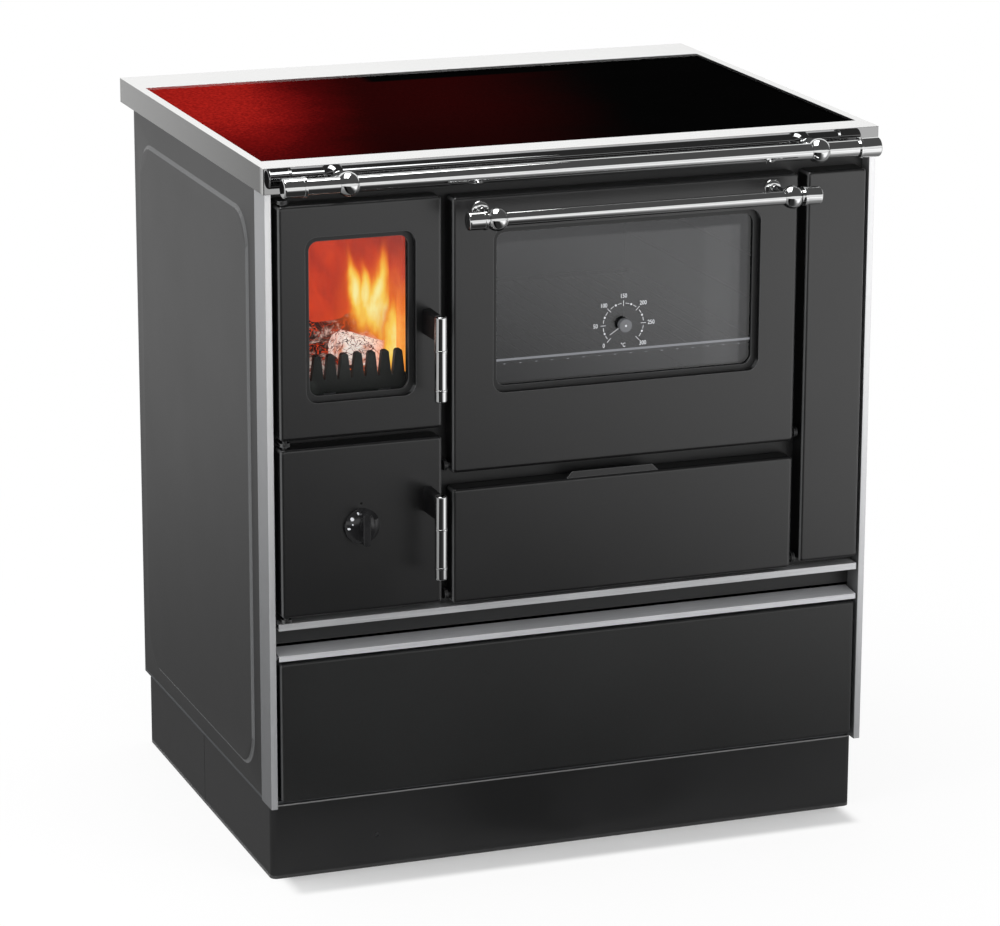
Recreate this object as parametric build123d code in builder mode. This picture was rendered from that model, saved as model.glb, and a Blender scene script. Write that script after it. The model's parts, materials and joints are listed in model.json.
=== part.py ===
"""Free-standing wood-fired cookstove, 750 x 600 x 850 mm.

A glazed firebox over an ash door at the left, a glazed oven over a cleaning flap in the
middle, a blind cover at the right, a wood drawer below them and a plinth on the floor.
Millimetres, +Z up, the front faces -Y.  The origin lies on the floor, at the middle of
the whole stove's length and depth.  Depths are measured back from the front face of the
corner trims, and are negative in front of it.
"""

from build123d import *
import math
import os

os.makedirs("parts", exist_ok=True)

# ------------------------------------------------------------------ driving dimensions
HEIGHT = 850
BODY_DEPTH = 547
PLINTH_HEIGHT = 92

HOB_HALF = 377
HOB_DEPTH = 600
HOB_HEIGHT = 30
HOB_LIP = 3
HOB_WALL = 3
GLASS_X = (-366, 366)
GLASS_DEPTHS = (38, 519)
GLASS_DROP = 3
GLASS_THICK = 5
GLASS_GAP = 0.5
SEAL_THICK = 3
LEDGE_THICK = 3
LEDGE_WIDTH = 12

SHEET = 2
THIN = 1.5
DECK = 3
BODY_BOTTOM = PLINTH_HEIGHT + DECK
BODY_TOP = HEIGHT - HOB_HEIGHT
TRIM_OUT = 375
TRIM_IN = 367
TRIM_SIDE = 38
TRIM_RETURN = 30
SIDE_OUT = TRIM_OUT - THIN
SIDE_IN = SIDE_OUT - THIN
BACK_DEPTHS = (BODY_DEPTH - SHEET, BODY_DEPTH)

# Doors, flap and cover: enamelled pressings with rounded edges.
DOOR_FRONT = -9
DOOR_BACK = 12
PANEL_CORNER = 5
PANEL_EDGE = 4
LEFT_DOORS_X = (-362, -168)
OVEN_X = (-155, 273)
COVER_X = (285, 360)
FIRE_DOOR_Z = (535, 806.5)
ASH_DOOR_Z = (325, 525.5)
OVEN_DOOR_Z = (479, 802.5)
FLAP_Z = (322, 460)
COVER_Z = (327, 802.5)
FIRE_WINDOW_X = (-330.5, -199.5)
FIRE_WINDOW_Z = (577, 769)
OVEN_WINDOW_X = (-105.5, 226)
OVEN_WINDOW_Z = (570, 763.5)
WINDOW_CORNER = 14
WINDOW_STEP = 6.5
TAB_X = (-13, 101)
TAB_RISE = 7

# Inner frame of each door, its rope seal and the face plate that it closes on.
LINER_FRONT = -1
LINER_PLATE = 3
LINER_BACK = 14
LINER_RIM = 8
PLATE_DEPTHS = (18, 20.5)
ROPE_BACK = 17.7
LEFT_LINER_X = (-348, -192)
OVEN_LINER_X = (-141, 259)
FIRE_LINER_Z = (545, 796)
ASH_LINER_Z = (337, 515)
OVEN_LINER_Z = (497, 786)
FLAP_LINER_Z = (340, 446)
OPENING_STEP = LINER_RIM + 2
PANE_DEPTHS = (LINER_FRONT + LINER_PLATE, 6)
PANE_LAP = 5
CLIP_HALF = 7
CLIP_FOOT = 6
ROPE_ROUND = 1.2
STUD_R = 4

# Hinges: steel pins in running clearance, on lugs that stand out from the face plate.
PIN_R = 2.95
PIN_BORE_R = 3
PIN_GRIP = 12
LUG = 4
LUG_R = 6
LUG_GAP = 2
EYE_HALF = 5
EYE_DROP = 8
DOOR_AXIS_X = -355
DOOR_AXIS_DEPTH = -2
OVEN_AXIS = (2, 487)
FLAP_AXIS = (1, 332)

# Lever handles of the two left doors.
HANDLE_X = -185.5
FIRE_HANDLE_Z = 662
ASH_HANDLE_Z = 452
GRIP_OUT = -54
GRIP_R = 7
GRIP_ABOVE = 16
GRIP_BELOW = 84
GRIP_ROUND = 2
GRIP_RINGS = (14, 60)
RING_HALF = 1
RING_PROUD = 0.7
HUB_ROOT = (12, 30)
HUB_ROUND = 3
HUB_TAPER = 1
HUB_GAP = 0.5
SHAFT_R = 5
TONGUE_DEPTHS = (-6, -2)
TONGUE_REACH = 12
TONGUE_HALF = 3
KEEPER_R = 2.5
KEEPER_FOOT = (5, 2)
KEEPER_OFFSET = (10, -7.5)
FIT = 0.05

# Air knob on the ash door.
KNOB_X = -266
KNOB_Z = 428
KNOB_R = 21
KNOB_PROUD = 22
KNOB_RIM = 3
KNOB_SKIRT = 7
KNOB_DOME = 9
WING = (40, 9)
WING_EDGE = 1.2
KNOB_SHAFT_R = 4
AIR_CIRCLE = 17
AIR_HOLE_R = 6.5
AIR_DISC_R = 28
AIR_DISC_DEPTHS = (2.3, 4.3)

# Rails with balls, on the hob frame and on the oven door, as (depth, height).
HOB_RAIL = (-32, 832)
HOB_RAIL_R = 9.5
HOB_RAIL_HALF = 364
HOB_POST_HALF = 287
HOB_BALL_R = 14.5
HOB_CAP_R = 11.5
HOB_CAP = 27
OVEN_RAIL = (-64, 787)
OVEN_RAIL_R = 8
OVEN_RAIL_HALF = 216.5
OVEN_POST_HALF = 181
OVEN_BALL_R = 13.5
OVEN_CAP_R = 10.5
OVEN_CAP = 22
POST_NECK_R = 5
POST_FOOT_R = 10.5
POST_DOME = 4
CAP_END = 10
CAP_ROUND = 2.5
CAP_COLLAR = (3, 0.8)

# Oven thermometer in the door's window: a hub that stands in front of the glass.
DIAL_X = 59
DIAL_Z = 636
DIAL_HUB_R = 8
DIAL_HUB_DEPTHS = (-6.5, 0.2)
DIAL_NUT_R = 6
DIAL_NUT_THICK = 3
NEEDLE_DEPTHS = (0.7, 1.5)
NEEDLE_REACH = 20.5
NEEDLE_TAIL = 7
NEEDLE_REST = math.radians(33)
NEEDLE_RING_R = 4.5
SPINDLE_R = 1.95
SPINDLE_BORE_R = 2

# Wood drawer and the finger recess above it.
STRIP_HALF = 363.7
STRIP_Z = (308.7, 316.7)
DRAWER_HALF = 362.5
DRAWER_Z = (99, 269)
TRIM_LEVEL = -1
LIP_Z = (271.6, 278)
PULL_RISE = 3
PULL_BACK = 28
PULL_LEG = 44
RECESS_DEPTHS = (29, 31)
RECESS_Z = (284, 306)
BOX_HALF = 345
BOX_DEPTHS = (20, 500)
BOX_Z = (110, 262)
SLIDE_X = (345, 351)
SLIDE_Z = (140.3, 153.7)
SLIDE_PLAY = 0.3
SLIDE_END = 15
RUNNER_FOOT = 12

# Firebox, oven and flue.
FIREBOX_X = (-350, -177)
FIREBOX_BACK = 430
FIREBOX_WALL = 3
SHELF_Z = (318, 320)
ASH_FLOOR_Z = (345, 348)
HEARTH_Z = (542, 545)
BRICK = 20
BRICK_FRONT = 40
BRICK_TOP = 775
GAS_WINDOW_Z = (BRICK_TOP, 810)
GAS_WINDOW_DEPTHS = (60, 400)
GRATE_X = (-318, -204)
GRATE_DEPTHS = (150, 400)
GRATE_THICK = 12
GRATE_LAP = 8
GRATE_ROUND = 6
GRATE_SLOT = (62, 6)
GRATE_PITCH = (12, 76)
GRATE_SLOTS = (8, 3)
COMB_X = (-332, -198)
COMB_DEPTHS = (26, 34)
COMB_VALLEY = 594
COMB_TIP = 623
COMB_PITCH = 16.3
COMB_FINGERS = 8
FINGER_ROOT = 14.3
FINGER_SLOPE = 83.6
FINGER_ROUND = 3.2
OVEN_BACK = 470
RIB_TOPS = (588.5, 640, 692)
RIB = 7
RACK_RAIL_R = 2.5
RACK_WIRE_R = 1.5
RACK_WIRES = 18
CASING_X = (-177, 352)
CASING_BACK = 500
FLUE_X = 200
FLUE_Z = 700
FLUE_R = 60
FLUE_FLANGE = 15
FLUE_BEAD_R = 65
FLUE_BEAD = 3

# The stove reaches from the oven rail's balls to the hob frame's back edge.
FACE = (OVEN_BALL_R - OVEN_RAIL[0] + HOB_LIP - HOB_DEPTH) / 2


# ------------------------------------------------------------------------------ helpers
def facing(depth):
    """A sketch plane parallel to the front: its extrusions run towards the viewer."""
    return Plane.XZ.offset(-(FACE + depth))


def middle(limits):
    return sum(limits) / 2


def span(limits):
    return limits[1] - limits[0]


def inset(limits, amount):
    """The same limits drawn in at both ends, or out where the amount is negative."""
    return (limits[0] + amount, limits[1] - amount)


def block(x_limits, depths, z_limits, mode=Mode.ADD):
    with Locations((middle(x_limits), FACE + middle(depths), middle(z_limits))):
        Box(span(x_limits), span(depths), span(z_limits), mode=mode)


def bar_x(x_limits, depth, z, radius, mode=Mode.ADD):
    with Locations(Location((middle(x_limits), FACE + depth, z), (0, 90, 0))):
        Cylinder(radius, span(x_limits), mode=mode)


def bar_y(x, depths, z, radius, mode=Mode.ADD):
    with Locations(Location((x, FACE + middle(depths), z), (90, 0, 0))):
        Cylinder(radius, span(depths), mode=mode)


def bar_z(x, depth, z_limits, radius, mode=Mode.ADD):
    with Locations((x, FACE + depth, middle(z_limits))):
        Cylinder(radius, span(z_limits), mode=mode)


def slab(x_limits, depths, z_limits, corner):
    """A plate parallel to the front, with rounded corners."""
    with BuildPart() as plate:
        with BuildSketch(facing(depths[1])):
            with Locations((middle(x_limits), middle(z_limits))):
                RectangleRounded(span(x_limits), span(z_limits), corner)
        extrude(amount=span(depths))
    return plate.part


def pressed_panel(x_limits, z_limits, depths):
    """A cover pressed from sheet: rounded in front, walls running back, open behind."""
    with BuildPart() as panel:
        with BuildSketch(facing(depths[1])):
            with Locations((middle(x_limits), middle(z_limits))):
                RectangleRounded(span(x_limits), span(z_limits), PANEL_CORNER)
        extrude(amount=span(depths))
        fillet(panel.faces().sort_by(Axis.Y)[0].edges(), PANEL_EDGE)
        offset(amount=-SHEET, openings=panel.faces().sort_by(Axis.Y)[-1])
    return panel.part


def glazed_panel(x_limits, z_limits, window_x, window_z):
    """A pressed door front with a window whose edge is folded back to the inner frame."""
    fold = (DOOR_FRONT + SHEET / 2, LINER_FRONT)
    cut = (DOOR_FRONT - SHEET, LINER_FRONT)
    with BuildPart() as panel:
        add(pressed_panel(x_limits, z_limits, (DOOR_FRONT, DOOR_BACK)))
        add(slab(inset(window_x, -SHEET), fold, inset(window_z, -SHEET), WINDOW_CORNER + SHEET))
        add(slab(window_x, cut, window_z, WINDOW_CORNER), mode=Mode.SUBTRACT)
    return panel.part


def door_liner(x_limits, z_limits, back=LINER_BACK):
    """A cast inner frame: a plate behind the panel and a rim back to the face plate."""
    pocket = (LINER_FRONT + LINER_PLATE, back)
    with BuildPart() as liner:
        block(x_limits, (LINER_FRONT, back), z_limits)
        block(inset(x_limits, LINER_RIM), pocket, inset(z_limits, LINER_RIM), Mode.SUBTRACT)
    return liner.part


def window_opening(window_x, window_z):
    """What is cut from an inner frame's plate, a step inside the panel's window."""
    cut = (LINER_FRONT - 1, LINER_FRONT + LINER_PLATE)
    x_limits = inset(window_x, WINDOW_STEP)
    return slab(x_limits, cut, inset(window_z, WINDOW_STEP), WINDOW_CORNER - WINDOW_STEP / 2)


def pane(window_x, window_z):
    """Heat-proof glass that laps the inner frame's plate from behind."""
    lap = WINDOW_STEP - PANE_LAP
    with BuildPart() as glass:
        block(inset(window_x, lap), PANE_DEPTHS, inset(window_z, lap))
    return glass.part


def glass_clips(window_x, window_z):
    """Four folded clips that hold a pane against the inner frame."""
    low, high = inset(window_z, WINDOW_STEP - PANE_LAP)
    over = (PANE_DEPTHS[1], PANE_DEPTHS[1] + SHEET)
    foot = (PANE_DEPTHS[0], over[1])
    with BuildPart() as clips:
        for x in inset(window_x, span(window_x) / 4):
            clip_x = (x - CLIP_HALF, x + CLIP_HALF)
            block(clip_x, foot, (high, high + CLIP_FOOT))
            block(clip_x, over, (high - PANE_LAP, high))
            block(clip_x, foot, (low - CLIP_FOOT, low))
            block(clip_x, over, (low, low + PANE_LAP))
    return clips.part


def rope_seal(x_limits, z_limits):
    """Glass-fibre rope, pressed flat on a liner's rim."""
    depths = (LINER_BACK, ROPE_BACK)
    with BuildPart() as rope:
        block(x_limits, depths, z_limits)
        fillet(rope.faces().sort_by(Axis.Y)[-1].edges(), ROPE_ROUND)
        block(inset(x_limits, LINER_RIM), depths, inset(z_limits, LINER_RIM), Mode.SUBTRACT)
    return rope.part


def tray(x_limits, depths, z_limits, wall):
    """A sheet box that is open at the top."""
    with BuildPart() as box:
        block(x_limits, depths, z_limits)
        offset(amount=-wall, openings=box.faces().sort_by(Axis.Z)[-1])
    return box.part


def spacers(x_limits, z_limits):
    """Four studs that hold an inner frame off its panel."""
    for x in inset(x_limits, LINER_RIM):
        for z in inset(z_limits, LINER_RIM):
            bar_y(x, (DOOR_FRONT + SHEET, LINER_FRONT), z, STUD_R)


def upright_eyes(z_limits):
    """Bored blocks in a left door's hinge corners, for upright pins."""
    low, high = inset(z_limits, SHEET)
    depths = (DOOR_FRONT + SHEET, DOOR_AXIS_DEPTH + EYE_HALF)
    for eye_z in ((low, low + PIN_GRIP), (high - PIN_GRIP, high)):
        block((LEFT_DOORS_X[0] + SHEET, LEFT_LINER_X[0]), depths, eye_z)
    bar_z(DOOR_AXIS_X, DOOR_AXIS_DEPTH, z_limits, PIN_BORE_R, Mode.SUBTRACT)


def level_eyes(axis, liner_bottom):
    """Bored blocks in the lower corners of the oven door or the flap, for level pins."""
    depth, z = axis
    low, high = inset(OVEN_X, SHEET)
    for eye_x in ((low, low + PIN_GRIP), (high - PIN_GRIP, high)):
        block(eye_x, (depth - EYE_HALF, depth + EYE_HALF), (z - EYE_DROP, liner_bottom))
    bar_x(OVEN_X, depth, z, PIN_BORE_R, Mode.SUBTRACT)


def lever_hub(pivot_z):
    """A cast arm on a shaft through the door, with the latch tongue inside it."""
    root = DOOR_FRONT - HUB_GAP
    seat_z = (pivot_z - HUB_ROOT[1], pivot_z + HUB_ROOT[1])
    tongue_z = (pivot_z - TONGUE_HALF, pivot_z + TONGUE_HALF)
    with BuildPart() as hub:
        with BuildSketch(facing(root)):
            with Locations((HANDLE_X, pivot_z)):
                RectangleRounded(*HUB_ROOT, HUB_ROUND)
        extrude(amount=root - GRIP_OUT - GRIP_R / 2, taper=HUB_TAPER)
        bar_z(HANDLE_X, GRIP_OUT, seat_z, GRIP_R, Mode.SUBTRACT)
        bar_y(HANDLE_X, (root, TONGUE_DEPTHS[1]), pivot_z, SHAFT_R)
        block((HANDLE_X, HANDLE_X + TONGUE_REACH), TONGUE_DEPTHS, tongue_z)
    return hub.part


def lever_grip(pivot_z):
    """The chromed grip: a rounded upright bar with two thin rings."""
    low = pivot_z - GRIP_BELOW
    with BuildPart() as grip:
        bar_z(HANDLE_X, GRIP_OUT, (low, pivot_z + GRIP_ABOVE), GRIP_R)
        fillet(grip.faces().filter_by(Axis.Z).edges(), GRIP_ROUND)
        for rise in GRIP_RINGS:
            ring_z = (low + rise - RING_HALF, low + rise + RING_HALF)
            bar_z(HANDLE_X, GRIP_OUT, ring_z, GRIP_R + RING_PROUD)
    return grip.part


def ball_post(x, rail, rail_r, ball_r, foot_depth):
    """A turned post: a ball bored for the rail, a neck and a domed foot."""
    out, z = rail
    reach = foot_depth - out
    with BuildPart() as post:
        with BuildSketch(Plane((x, FACE + out, z))):
            Circle(ball_r)
            Rectangle(2 * POST_NECK_R, reach, align=(Align.CENTER, Align.MIN))
            with Locations((0, reach)):
                Ellipse(POST_FOOT_R, POST_DOME)
                Rectangle(
                    2 * ball_r, ball_r, align=(Align.CENTER, Align.MIN), mode=Mode.SUBTRACT
                )
            Rectangle(
                ball_r, 4 * reach, align=(Align.MIN, Align.CENTER), mode=Mode.INTERSECT
            )
        revolve(axis=Axis((x, FACE + out, z), (0, 1, 0)))
        bar_x((x - ball_r, x + ball_r), out, z, rail_r + FIT, Mode.SUBTRACT)
    return post.part


def rail_cap(end, rail, rail_r, cap_r, length):
    """The right-hand end cap of a rail: a turned cup with a thin collar."""
    out, z = rail
    inner = end - length
    with BuildPart() as cap:
        bar_x((inner, end), out, z, cap_r)
        fillet(cap.edges().sort_by(Axis.X)[-1], CAP_ROUND)
        bar_x((inner, inner + CAP_COLLAR[0]), out, z, cap_r + CAP_COLLAR[1])
        bar_x((inner, end - CAP_END), out, z, rail_r + FIT, Mode.SUBTRACT)
    return cap.part


def upright_lug(z_limits, pin_z):
    """A hinge lug with an upright pin for the left doors."""
    x, depth = DOOR_AXIS_X, DOOR_AXIS_DEPTH
    block((x - LUG_R, x + LUG_R), (depth, PLATE_DEPTHS[0]), z_limits)
    bar_z(x, depth, z_limits, LUG_R)
    bar_z(x, depth, pin_z, PIN_R)


def level_lug(x_limits, pin_x, axis):
    """A hinge lug with a level pin for the oven door or the flap."""
    depth, z = axis
    block(x_limits, (depth, PLATE_DEPTHS[0]), (z - LUG_R, z + LUG_R))
    bar_x(x_limits, depth, z, LUG_R)
    bar_x(pin_x, depth, z, PIN_R)


# ------------------------------------------------------------------- plinth and base
PLINTH_HALF = 371
PLINTH_DEPTHS = (15, 538)
PLINTH_SEAM = 290
PLINTH_GAP = 1
PLINTH_ROUND = 8
PLINTH_FLANGE = 14
PLINTH_HOLE = (-241, 40)
PLINTH_HOLE_R = 2.5
NOTCH_DEPTHS = (46, 530)
NOTCH = (8, 5)


def plinth_half(depths):
    """A U-shaped half of the skirt on the floor, with its top edge turned inward."""
    width = 2 * PLINTH_HALF
    length = span(PLINTH_DEPTHS)
    inner = (width - 2 * SHEET, length - 2 * SHEET)
    hole = (width - 2 * PLINTH_FLANGE, length - 2 * PLINTH_FLANGE)
    with BuildPart() as skirt:
        with BuildSketch():
            with Locations((0, FACE + middle(PLINTH_DEPTHS))):
                RectangleRounded(width, length, PLINTH_ROUND)
                RectangleRounded(*inner, PLINTH_ROUND - SHEET, mode=Mode.SUBTRACT)
        extrude(amount=PLINTH_HEIGHT)
        with BuildSketch(Plane.XY.offset(PLINTH_HEIGHT - SHEET)):
            with Locations((0, FACE + middle(PLINTH_DEPTHS))):
                RectangleRounded(width, length, PLINTH_ROUND)
                Rectangle(*hole, mode=Mode.SUBTRACT)
        extrude(amount=SHEET)
        block((-PLINTH_HALF, PLINTH_HALF), depths, (0, PLINTH_HEIGHT), Mode.INTERSECT)
    return skirt.part


def side_notch(depth):
    """A small gap in the top edge of both plinth sides."""
    notch_depths = (depth - NOTCH[0] / 2, depth + NOTCH[0] / 2)
    notch_z = (PLINTH_HEIGHT - NOTCH[1], PLINTH_HEIGHT)
    block((-HOB_HALF, HOB_HALF), notch_depths, notch_z, Mode.SUBTRACT)


with BuildPart() as plinth_front:
    add(plinth_half((PLINTH_DEPTHS[0], PLINTH_SEAM - PLINTH_GAP / 2)))
    side_notch(NOTCH_DEPTHS[0])
    hole_depths = inset((PLINTH_DEPTHS[0], PLINTH_DEPTHS[0] + SHEET), -1)
    bar_y(PLINTH_HOLE[0], hole_depths, PLINTH_HOLE[1], PLINTH_HOLE_R, Mode.SUBTRACT)
plinth_front.part.label = "plinth_front"
export_step(plinth_front.part, "parts/plinth_front.step")

with BuildPart() as plinth_rear:
    add(plinth_half((PLINTH_SEAM + PLINTH_GAP / 2, PLINTH_DEPTHS[1])))
    side_notch(NOTCH_DEPTHS[1])
plinth_rear.part.label = "plinth_rear"
export_step(plinth_rear.part, "parts/plinth_rear.step")

with BuildPart() as base_plate:
    block((-SIDE_OUT, SIDE_OUT), (TRIM_RETURN, BODY_DEPTH), (PLINTH_HEIGHT, BODY_BOTTOM))
    front_depths = (PLATE_DEPTHS[0], TRIM_RETURN)
    block((-TRIM_IN, TRIM_IN), front_depths, (PLINTH_HEIGHT, BODY_BOTTOM))
base_plate.part.label = "base_plate"
export_step(base_plate.part, "parts/base_plate.step")

# ----------------------------------------------------------------------- outer panels
FIELD_DEPTHS = (68, 518)
FIELD_Z = (114.5, 787)
FIELD_ROUND = 45
FIELD_RISE = 2.5
FIELD_TAPER = 60
TRIM_ROUND = 0.8
SIDE_LAP = 6
FLUE_HOLE_R = FLUE_R + 1

with BuildPart() as corner_trim_right:
    with BuildSketch(Plane.XY.offset(PLINTH_HEIGHT)):
        with BuildLine():
            Polyline(
                (TRIM_OUT, FACE + TRIM_SIDE),
                (TRIM_OUT, FACE),
                (TRIM_IN, FACE),
                (TRIM_IN, FACE + TRIM_RETURN),
                (TRIM_IN + THIN, FACE + TRIM_RETURN),
                (TRIM_IN + THIN, FACE + THIN),
                (TRIM_OUT - THIN, FACE + THIN),
                (TRIM_OUT - THIN, FACE + TRIM_SIDE),
                close=True,
            )
        make_face()
    extrude(amount=BODY_TOP - PLINTH_HEIGHT)
    fillet(corner_trim_right.edges().filter_by(Axis.Z).group_by(Axis.Y)[0], TRIM_ROUND)
corner_trim_right.part.label = "corner_trim_right"
export_step(corner_trim_right.part, "parts/corner_trim_right.step")

with BuildPart() as corner_trim_left:
    mirror(corner_trim_right.part, about=Plane.YZ)
corner_trim_left.part.label = "corner_trim_left"
export_step(corner_trim_left.part, "parts/corner_trim_left.step")


def raised_field(base_x, margin):
    """The embossed field of a side panel, or the hollow behind it."""
    with BuildPart() as field:
        with BuildSketch(Plane.YZ.offset(base_x)):
            with Locations((FACE + middle(FIELD_DEPTHS), middle(FIELD_Z))):
                length = span(FIELD_DEPTHS) - 2 * margin
                RectangleRounded(length, span(FIELD_Z) - 2 * margin, FIELD_ROUND - margin)
        extrude(amount=FIELD_RISE, taper=FIELD_TAPER)
    return field.part


with BuildPart() as side_panel_right:
    side_depths = (TRIM_SIDE - SIDE_LAP, BACK_DEPTHS[0])
    block((SIDE_IN, SIDE_OUT), side_depths, (BODY_BOTTOM, BODY_TOP))
    add(raised_field(SIDE_OUT, 0))
    add(raised_field(SIDE_IN, 1), mode=Mode.SUBTRACT)
side_panel_right.part.label = "side_panel_right"
export_step(side_panel_right.part, "parts/side_panel_right.step")

with BuildPart() as side_panel_left:
    mirror(side_panel_right.part, about=Plane.YZ)
side_panel_left.part.label = "side_panel_left"
export_step(side_panel_left.part, "parts/side_panel_left.step")

with BuildPart() as back_panel:
    block((-SIDE_OUT, SIDE_OUT), BACK_DEPTHS, (BODY_BOTTOM, BODY_TOP))
    bar_y(FLUE_X, inset(BACK_DEPTHS, -1), FLUE_Z, FLUE_HOLE_R, Mode.SUBTRACT)
back_panel.part.label = "back_panel"
export_step(back_panel.part, "parts/back_panel.step")

DECK_FRONT = TRIM_RETURN + SHEET
TOP_FRONT = 45
TOP_LEDGE = 5

with BuildPart() as top_plate:
    top_z = (BODY_TOP - DECK, BODY_TOP)
    hole_x = inset((FIREBOX_X[0], CASING_X[1]), TOP_LEDGE)
    block((-TRIM_IN, TRIM_IN), (PLATE_DEPTHS[0], DECK_FRONT), top_z)
    block((-SIDE_IN, SIDE_IN), (DECK_FRONT, BACK_DEPTHS[0]), top_z)
    block(hole_x, (TOP_FRONT, CASING_BACK - TOP_LEDGE), top_z, Mode.SUBTRACT)
top_plate.part.label = "top_plate"
export_step(top_plate.part, "parts/top_plate.step")


# -------------------------------------------------------------------------- face plate
def face_opening(x_limits, z_limits):
    """Cuts the face plate just inside the rope of the door that closes the opening."""
    opening_z = inset(z_limits, OPENING_STEP)
    block(inset(x_limits, OPENING_STEP), inset(PLATE_DEPTHS, -1), opening_z, Mode.SUBTRACT)


with BuildPart() as front_frame:
    block((-TRIM_IN, TRIM_IN), PLATE_DEPTHS, (RECESS_Z[1], BODY_TOP - DECK))
    for liner_z in (FIRE_LINER_Z, ASH_LINER_Z):
        face_opening(LEFT_LINER_X, liner_z)
    for liner_z in (OVEN_LINER_Z, FLAP_LINER_Z):
        face_opening(OVEN_LINER_X, liner_z)
    recess_top = (RECESS_Z[1], RECESS_Z[1] + SHEET)
    block((-TRIM_IN, TRIM_IN), (PLATE_DEPTHS[1], RECESS_DEPTHS[1]), recess_top)
    block((-TRIM_IN, TRIM_IN), RECESS_DEPTHS, RECESS_Z)
front_frame.part.label = "front_frame"
export_step(front_frame.part, "parts/front_frame.step")

with BuildPart() as upper_strip:
    block((-STRIP_HALF, STRIP_HALF), (TRIM_LEVEL, PLATE_DEPTHS[0]), STRIP_Z)
    hollow = (TRIM_LEVEL + THIN, PLATE_DEPTHS[0])
    block((-STRIP_HALF, STRIP_HALF), hollow, inset(STRIP_Z, THIN), Mode.SUBTRACT)
upper_strip.part.label = "upper_strip"
export_step(upper_strip.part, "parts/upper_strip.step")

with BuildPart() as right_cover:
    add(pressed_panel(COVER_X, COVER_Z, (DOOR_FRONT, PLATE_DEPTHS[0])))
right_cover.part.label = "right_cover"
export_step(right_cover.part, "parts/right_cover.step")

with BuildPart() as hinge_pins:
    fire_low, fire_high = FIRE_DOOR_Z
    ash_low, ash_high = ASH_DOOR_Z
    between = middle((ash_high, fire_low))
    top, foot = fire_high + LUG_GAP, ash_low - LUG_GAP
    upright_lug((top, top + LUG), (fire_high - PIN_GRIP, top))
    upright_lug(
        (between - LUG / 2, between + LUG / 2), (ash_high - PIN_GRIP, fire_low + PIN_GRIP)
    )
    upright_lug((foot - LUG, foot), (foot, ash_low + PIN_GRIP))
    for axis in (OVEN_AXIS, FLAP_AXIS):
        low, high = inset(OVEN_X, -2 * LUG_GAP)
        level_lug((low - LUG, low), (low, OVEN_X[0] + PIN_GRIP), axis)
        level_lug((high, high + LUG), (OVEN_X[1] - PIN_GRIP, high), axis)
hinge_pins.part.label = "hinge_pins"
export_step(hinge_pins.part, "parts/hinge_pins.step")

with BuildPart() as latch_keepers:
    keeper_x = HANDLE_X + KEEPER_OFFSET[0]
    foot_r, foot_thick = KEEPER_FOOT
    for pivot_z in (FIRE_HANDLE_Z, ASH_HANDLE_Z):
        keeper_z = pivot_z + KEEPER_OFFSET[1]
        bar_y(keeper_x, (TONGUE_DEPTHS[0], PLATE_DEPTHS[0]), keeper_z, KEEPER_R)
        bar_y(keeper_x, (PLATE_DEPTHS[0] - foot_thick, PLATE_DEPTHS[0]), keeper_z, foot_r)
latch_keepers.part.label = "latch_keepers"
export_step(latch_keepers.part, "parts/latch_keepers.step")

# --------------------------------------------------------------------------------- hob
HOB_DEPTHS = (-HOB_LIP, HOB_DEPTH - HOB_LIP)
GLASS_TOP = HEIGHT - GLASS_DROP
GLASS_BOTTOM = GLASS_TOP - GLASS_THICK
LEDGE_TOP = GLASS_BOTTOM - SEAL_THICK
HOB_ROUND = 1.5


def hob_ring(outer, z_limits):
    """A ring from the hob frame's inner wall out to the given step beyond the glass."""
    block(inset(GLASS_X, -outer), inset(GLASS_DEPTHS, -outer), z_limits)


with BuildPart() as hob_frame:
    block((-HOB_HALF, HOB_HALF), HOB_DEPTHS, (BODY_TOP, HEIGHT))
    fillet(hob_frame.edges().filter_by(Axis.Z), HOB_ROUND)
    cavity_z = (BODY_TOP, HEIGHT - HOB_WALL)
    hollow_x = inset((-HOB_HALF, HOB_HALF), HOB_WALL)
    block(hollow_x, inset(HOB_DEPTHS, HOB_WALL), cavity_z, Mode.SUBTRACT)
    hob_ring(HOB_WALL, cavity_z)
    block(GLASS_X, GLASS_DEPTHS, (LEDGE_TOP, HEIGHT), Mode.SUBTRACT)
    step_x = inset(GLASS_X, LEDGE_WIDTH)
    step_depths = inset(GLASS_DEPTHS, LEDGE_WIDTH)
    block(step_x, step_depths, (BODY_TOP, HEIGHT), Mode.SUBTRACT)
    below_ledge = (BODY_TOP, LEDGE_TOP - LEDGE_THICK)
    block(GLASS_X, GLASS_DEPTHS, below_ledge, Mode.SUBTRACT)
hob_frame.part.label = "hob_frame"
export_step(hob_frame.part, "parts/hob_frame.step")

with BuildPart() as hob_seal:
    seal_z = (LEDGE_TOP, GLASS_BOTTOM)
    block(inset(GLASS_X, GLASS_GAP), inset(GLASS_DEPTHS, GLASS_GAP), seal_z)
    block(step_x, step_depths, seal_z, Mode.SUBTRACT)
hob_seal.part.label = "hob_seal"
export_step(hob_seal.part, "parts/hob_seal.step")

with BuildPart() as hob_glass:
    glass_z = (GLASS_BOTTOM, GLASS_TOP)
    block(inset(GLASS_X, GLASS_GAP), inset(GLASS_DEPTHS, GLASS_GAP), glass_z)
hob_glass.part.label = "hob_glass"
export_step(hob_glass.part, "parts/hob_glass.step")

with BuildPart() as hob_rail:
    rail_end = HOB_RAIL_HALF - CAP_END
    bar_x((-rail_end, rail_end), *HOB_RAIL, HOB_RAIL_R)
hob_rail.part.label = "hob_rail"
export_step(hob_rail.part, "parts/hob_rail.step")

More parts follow.
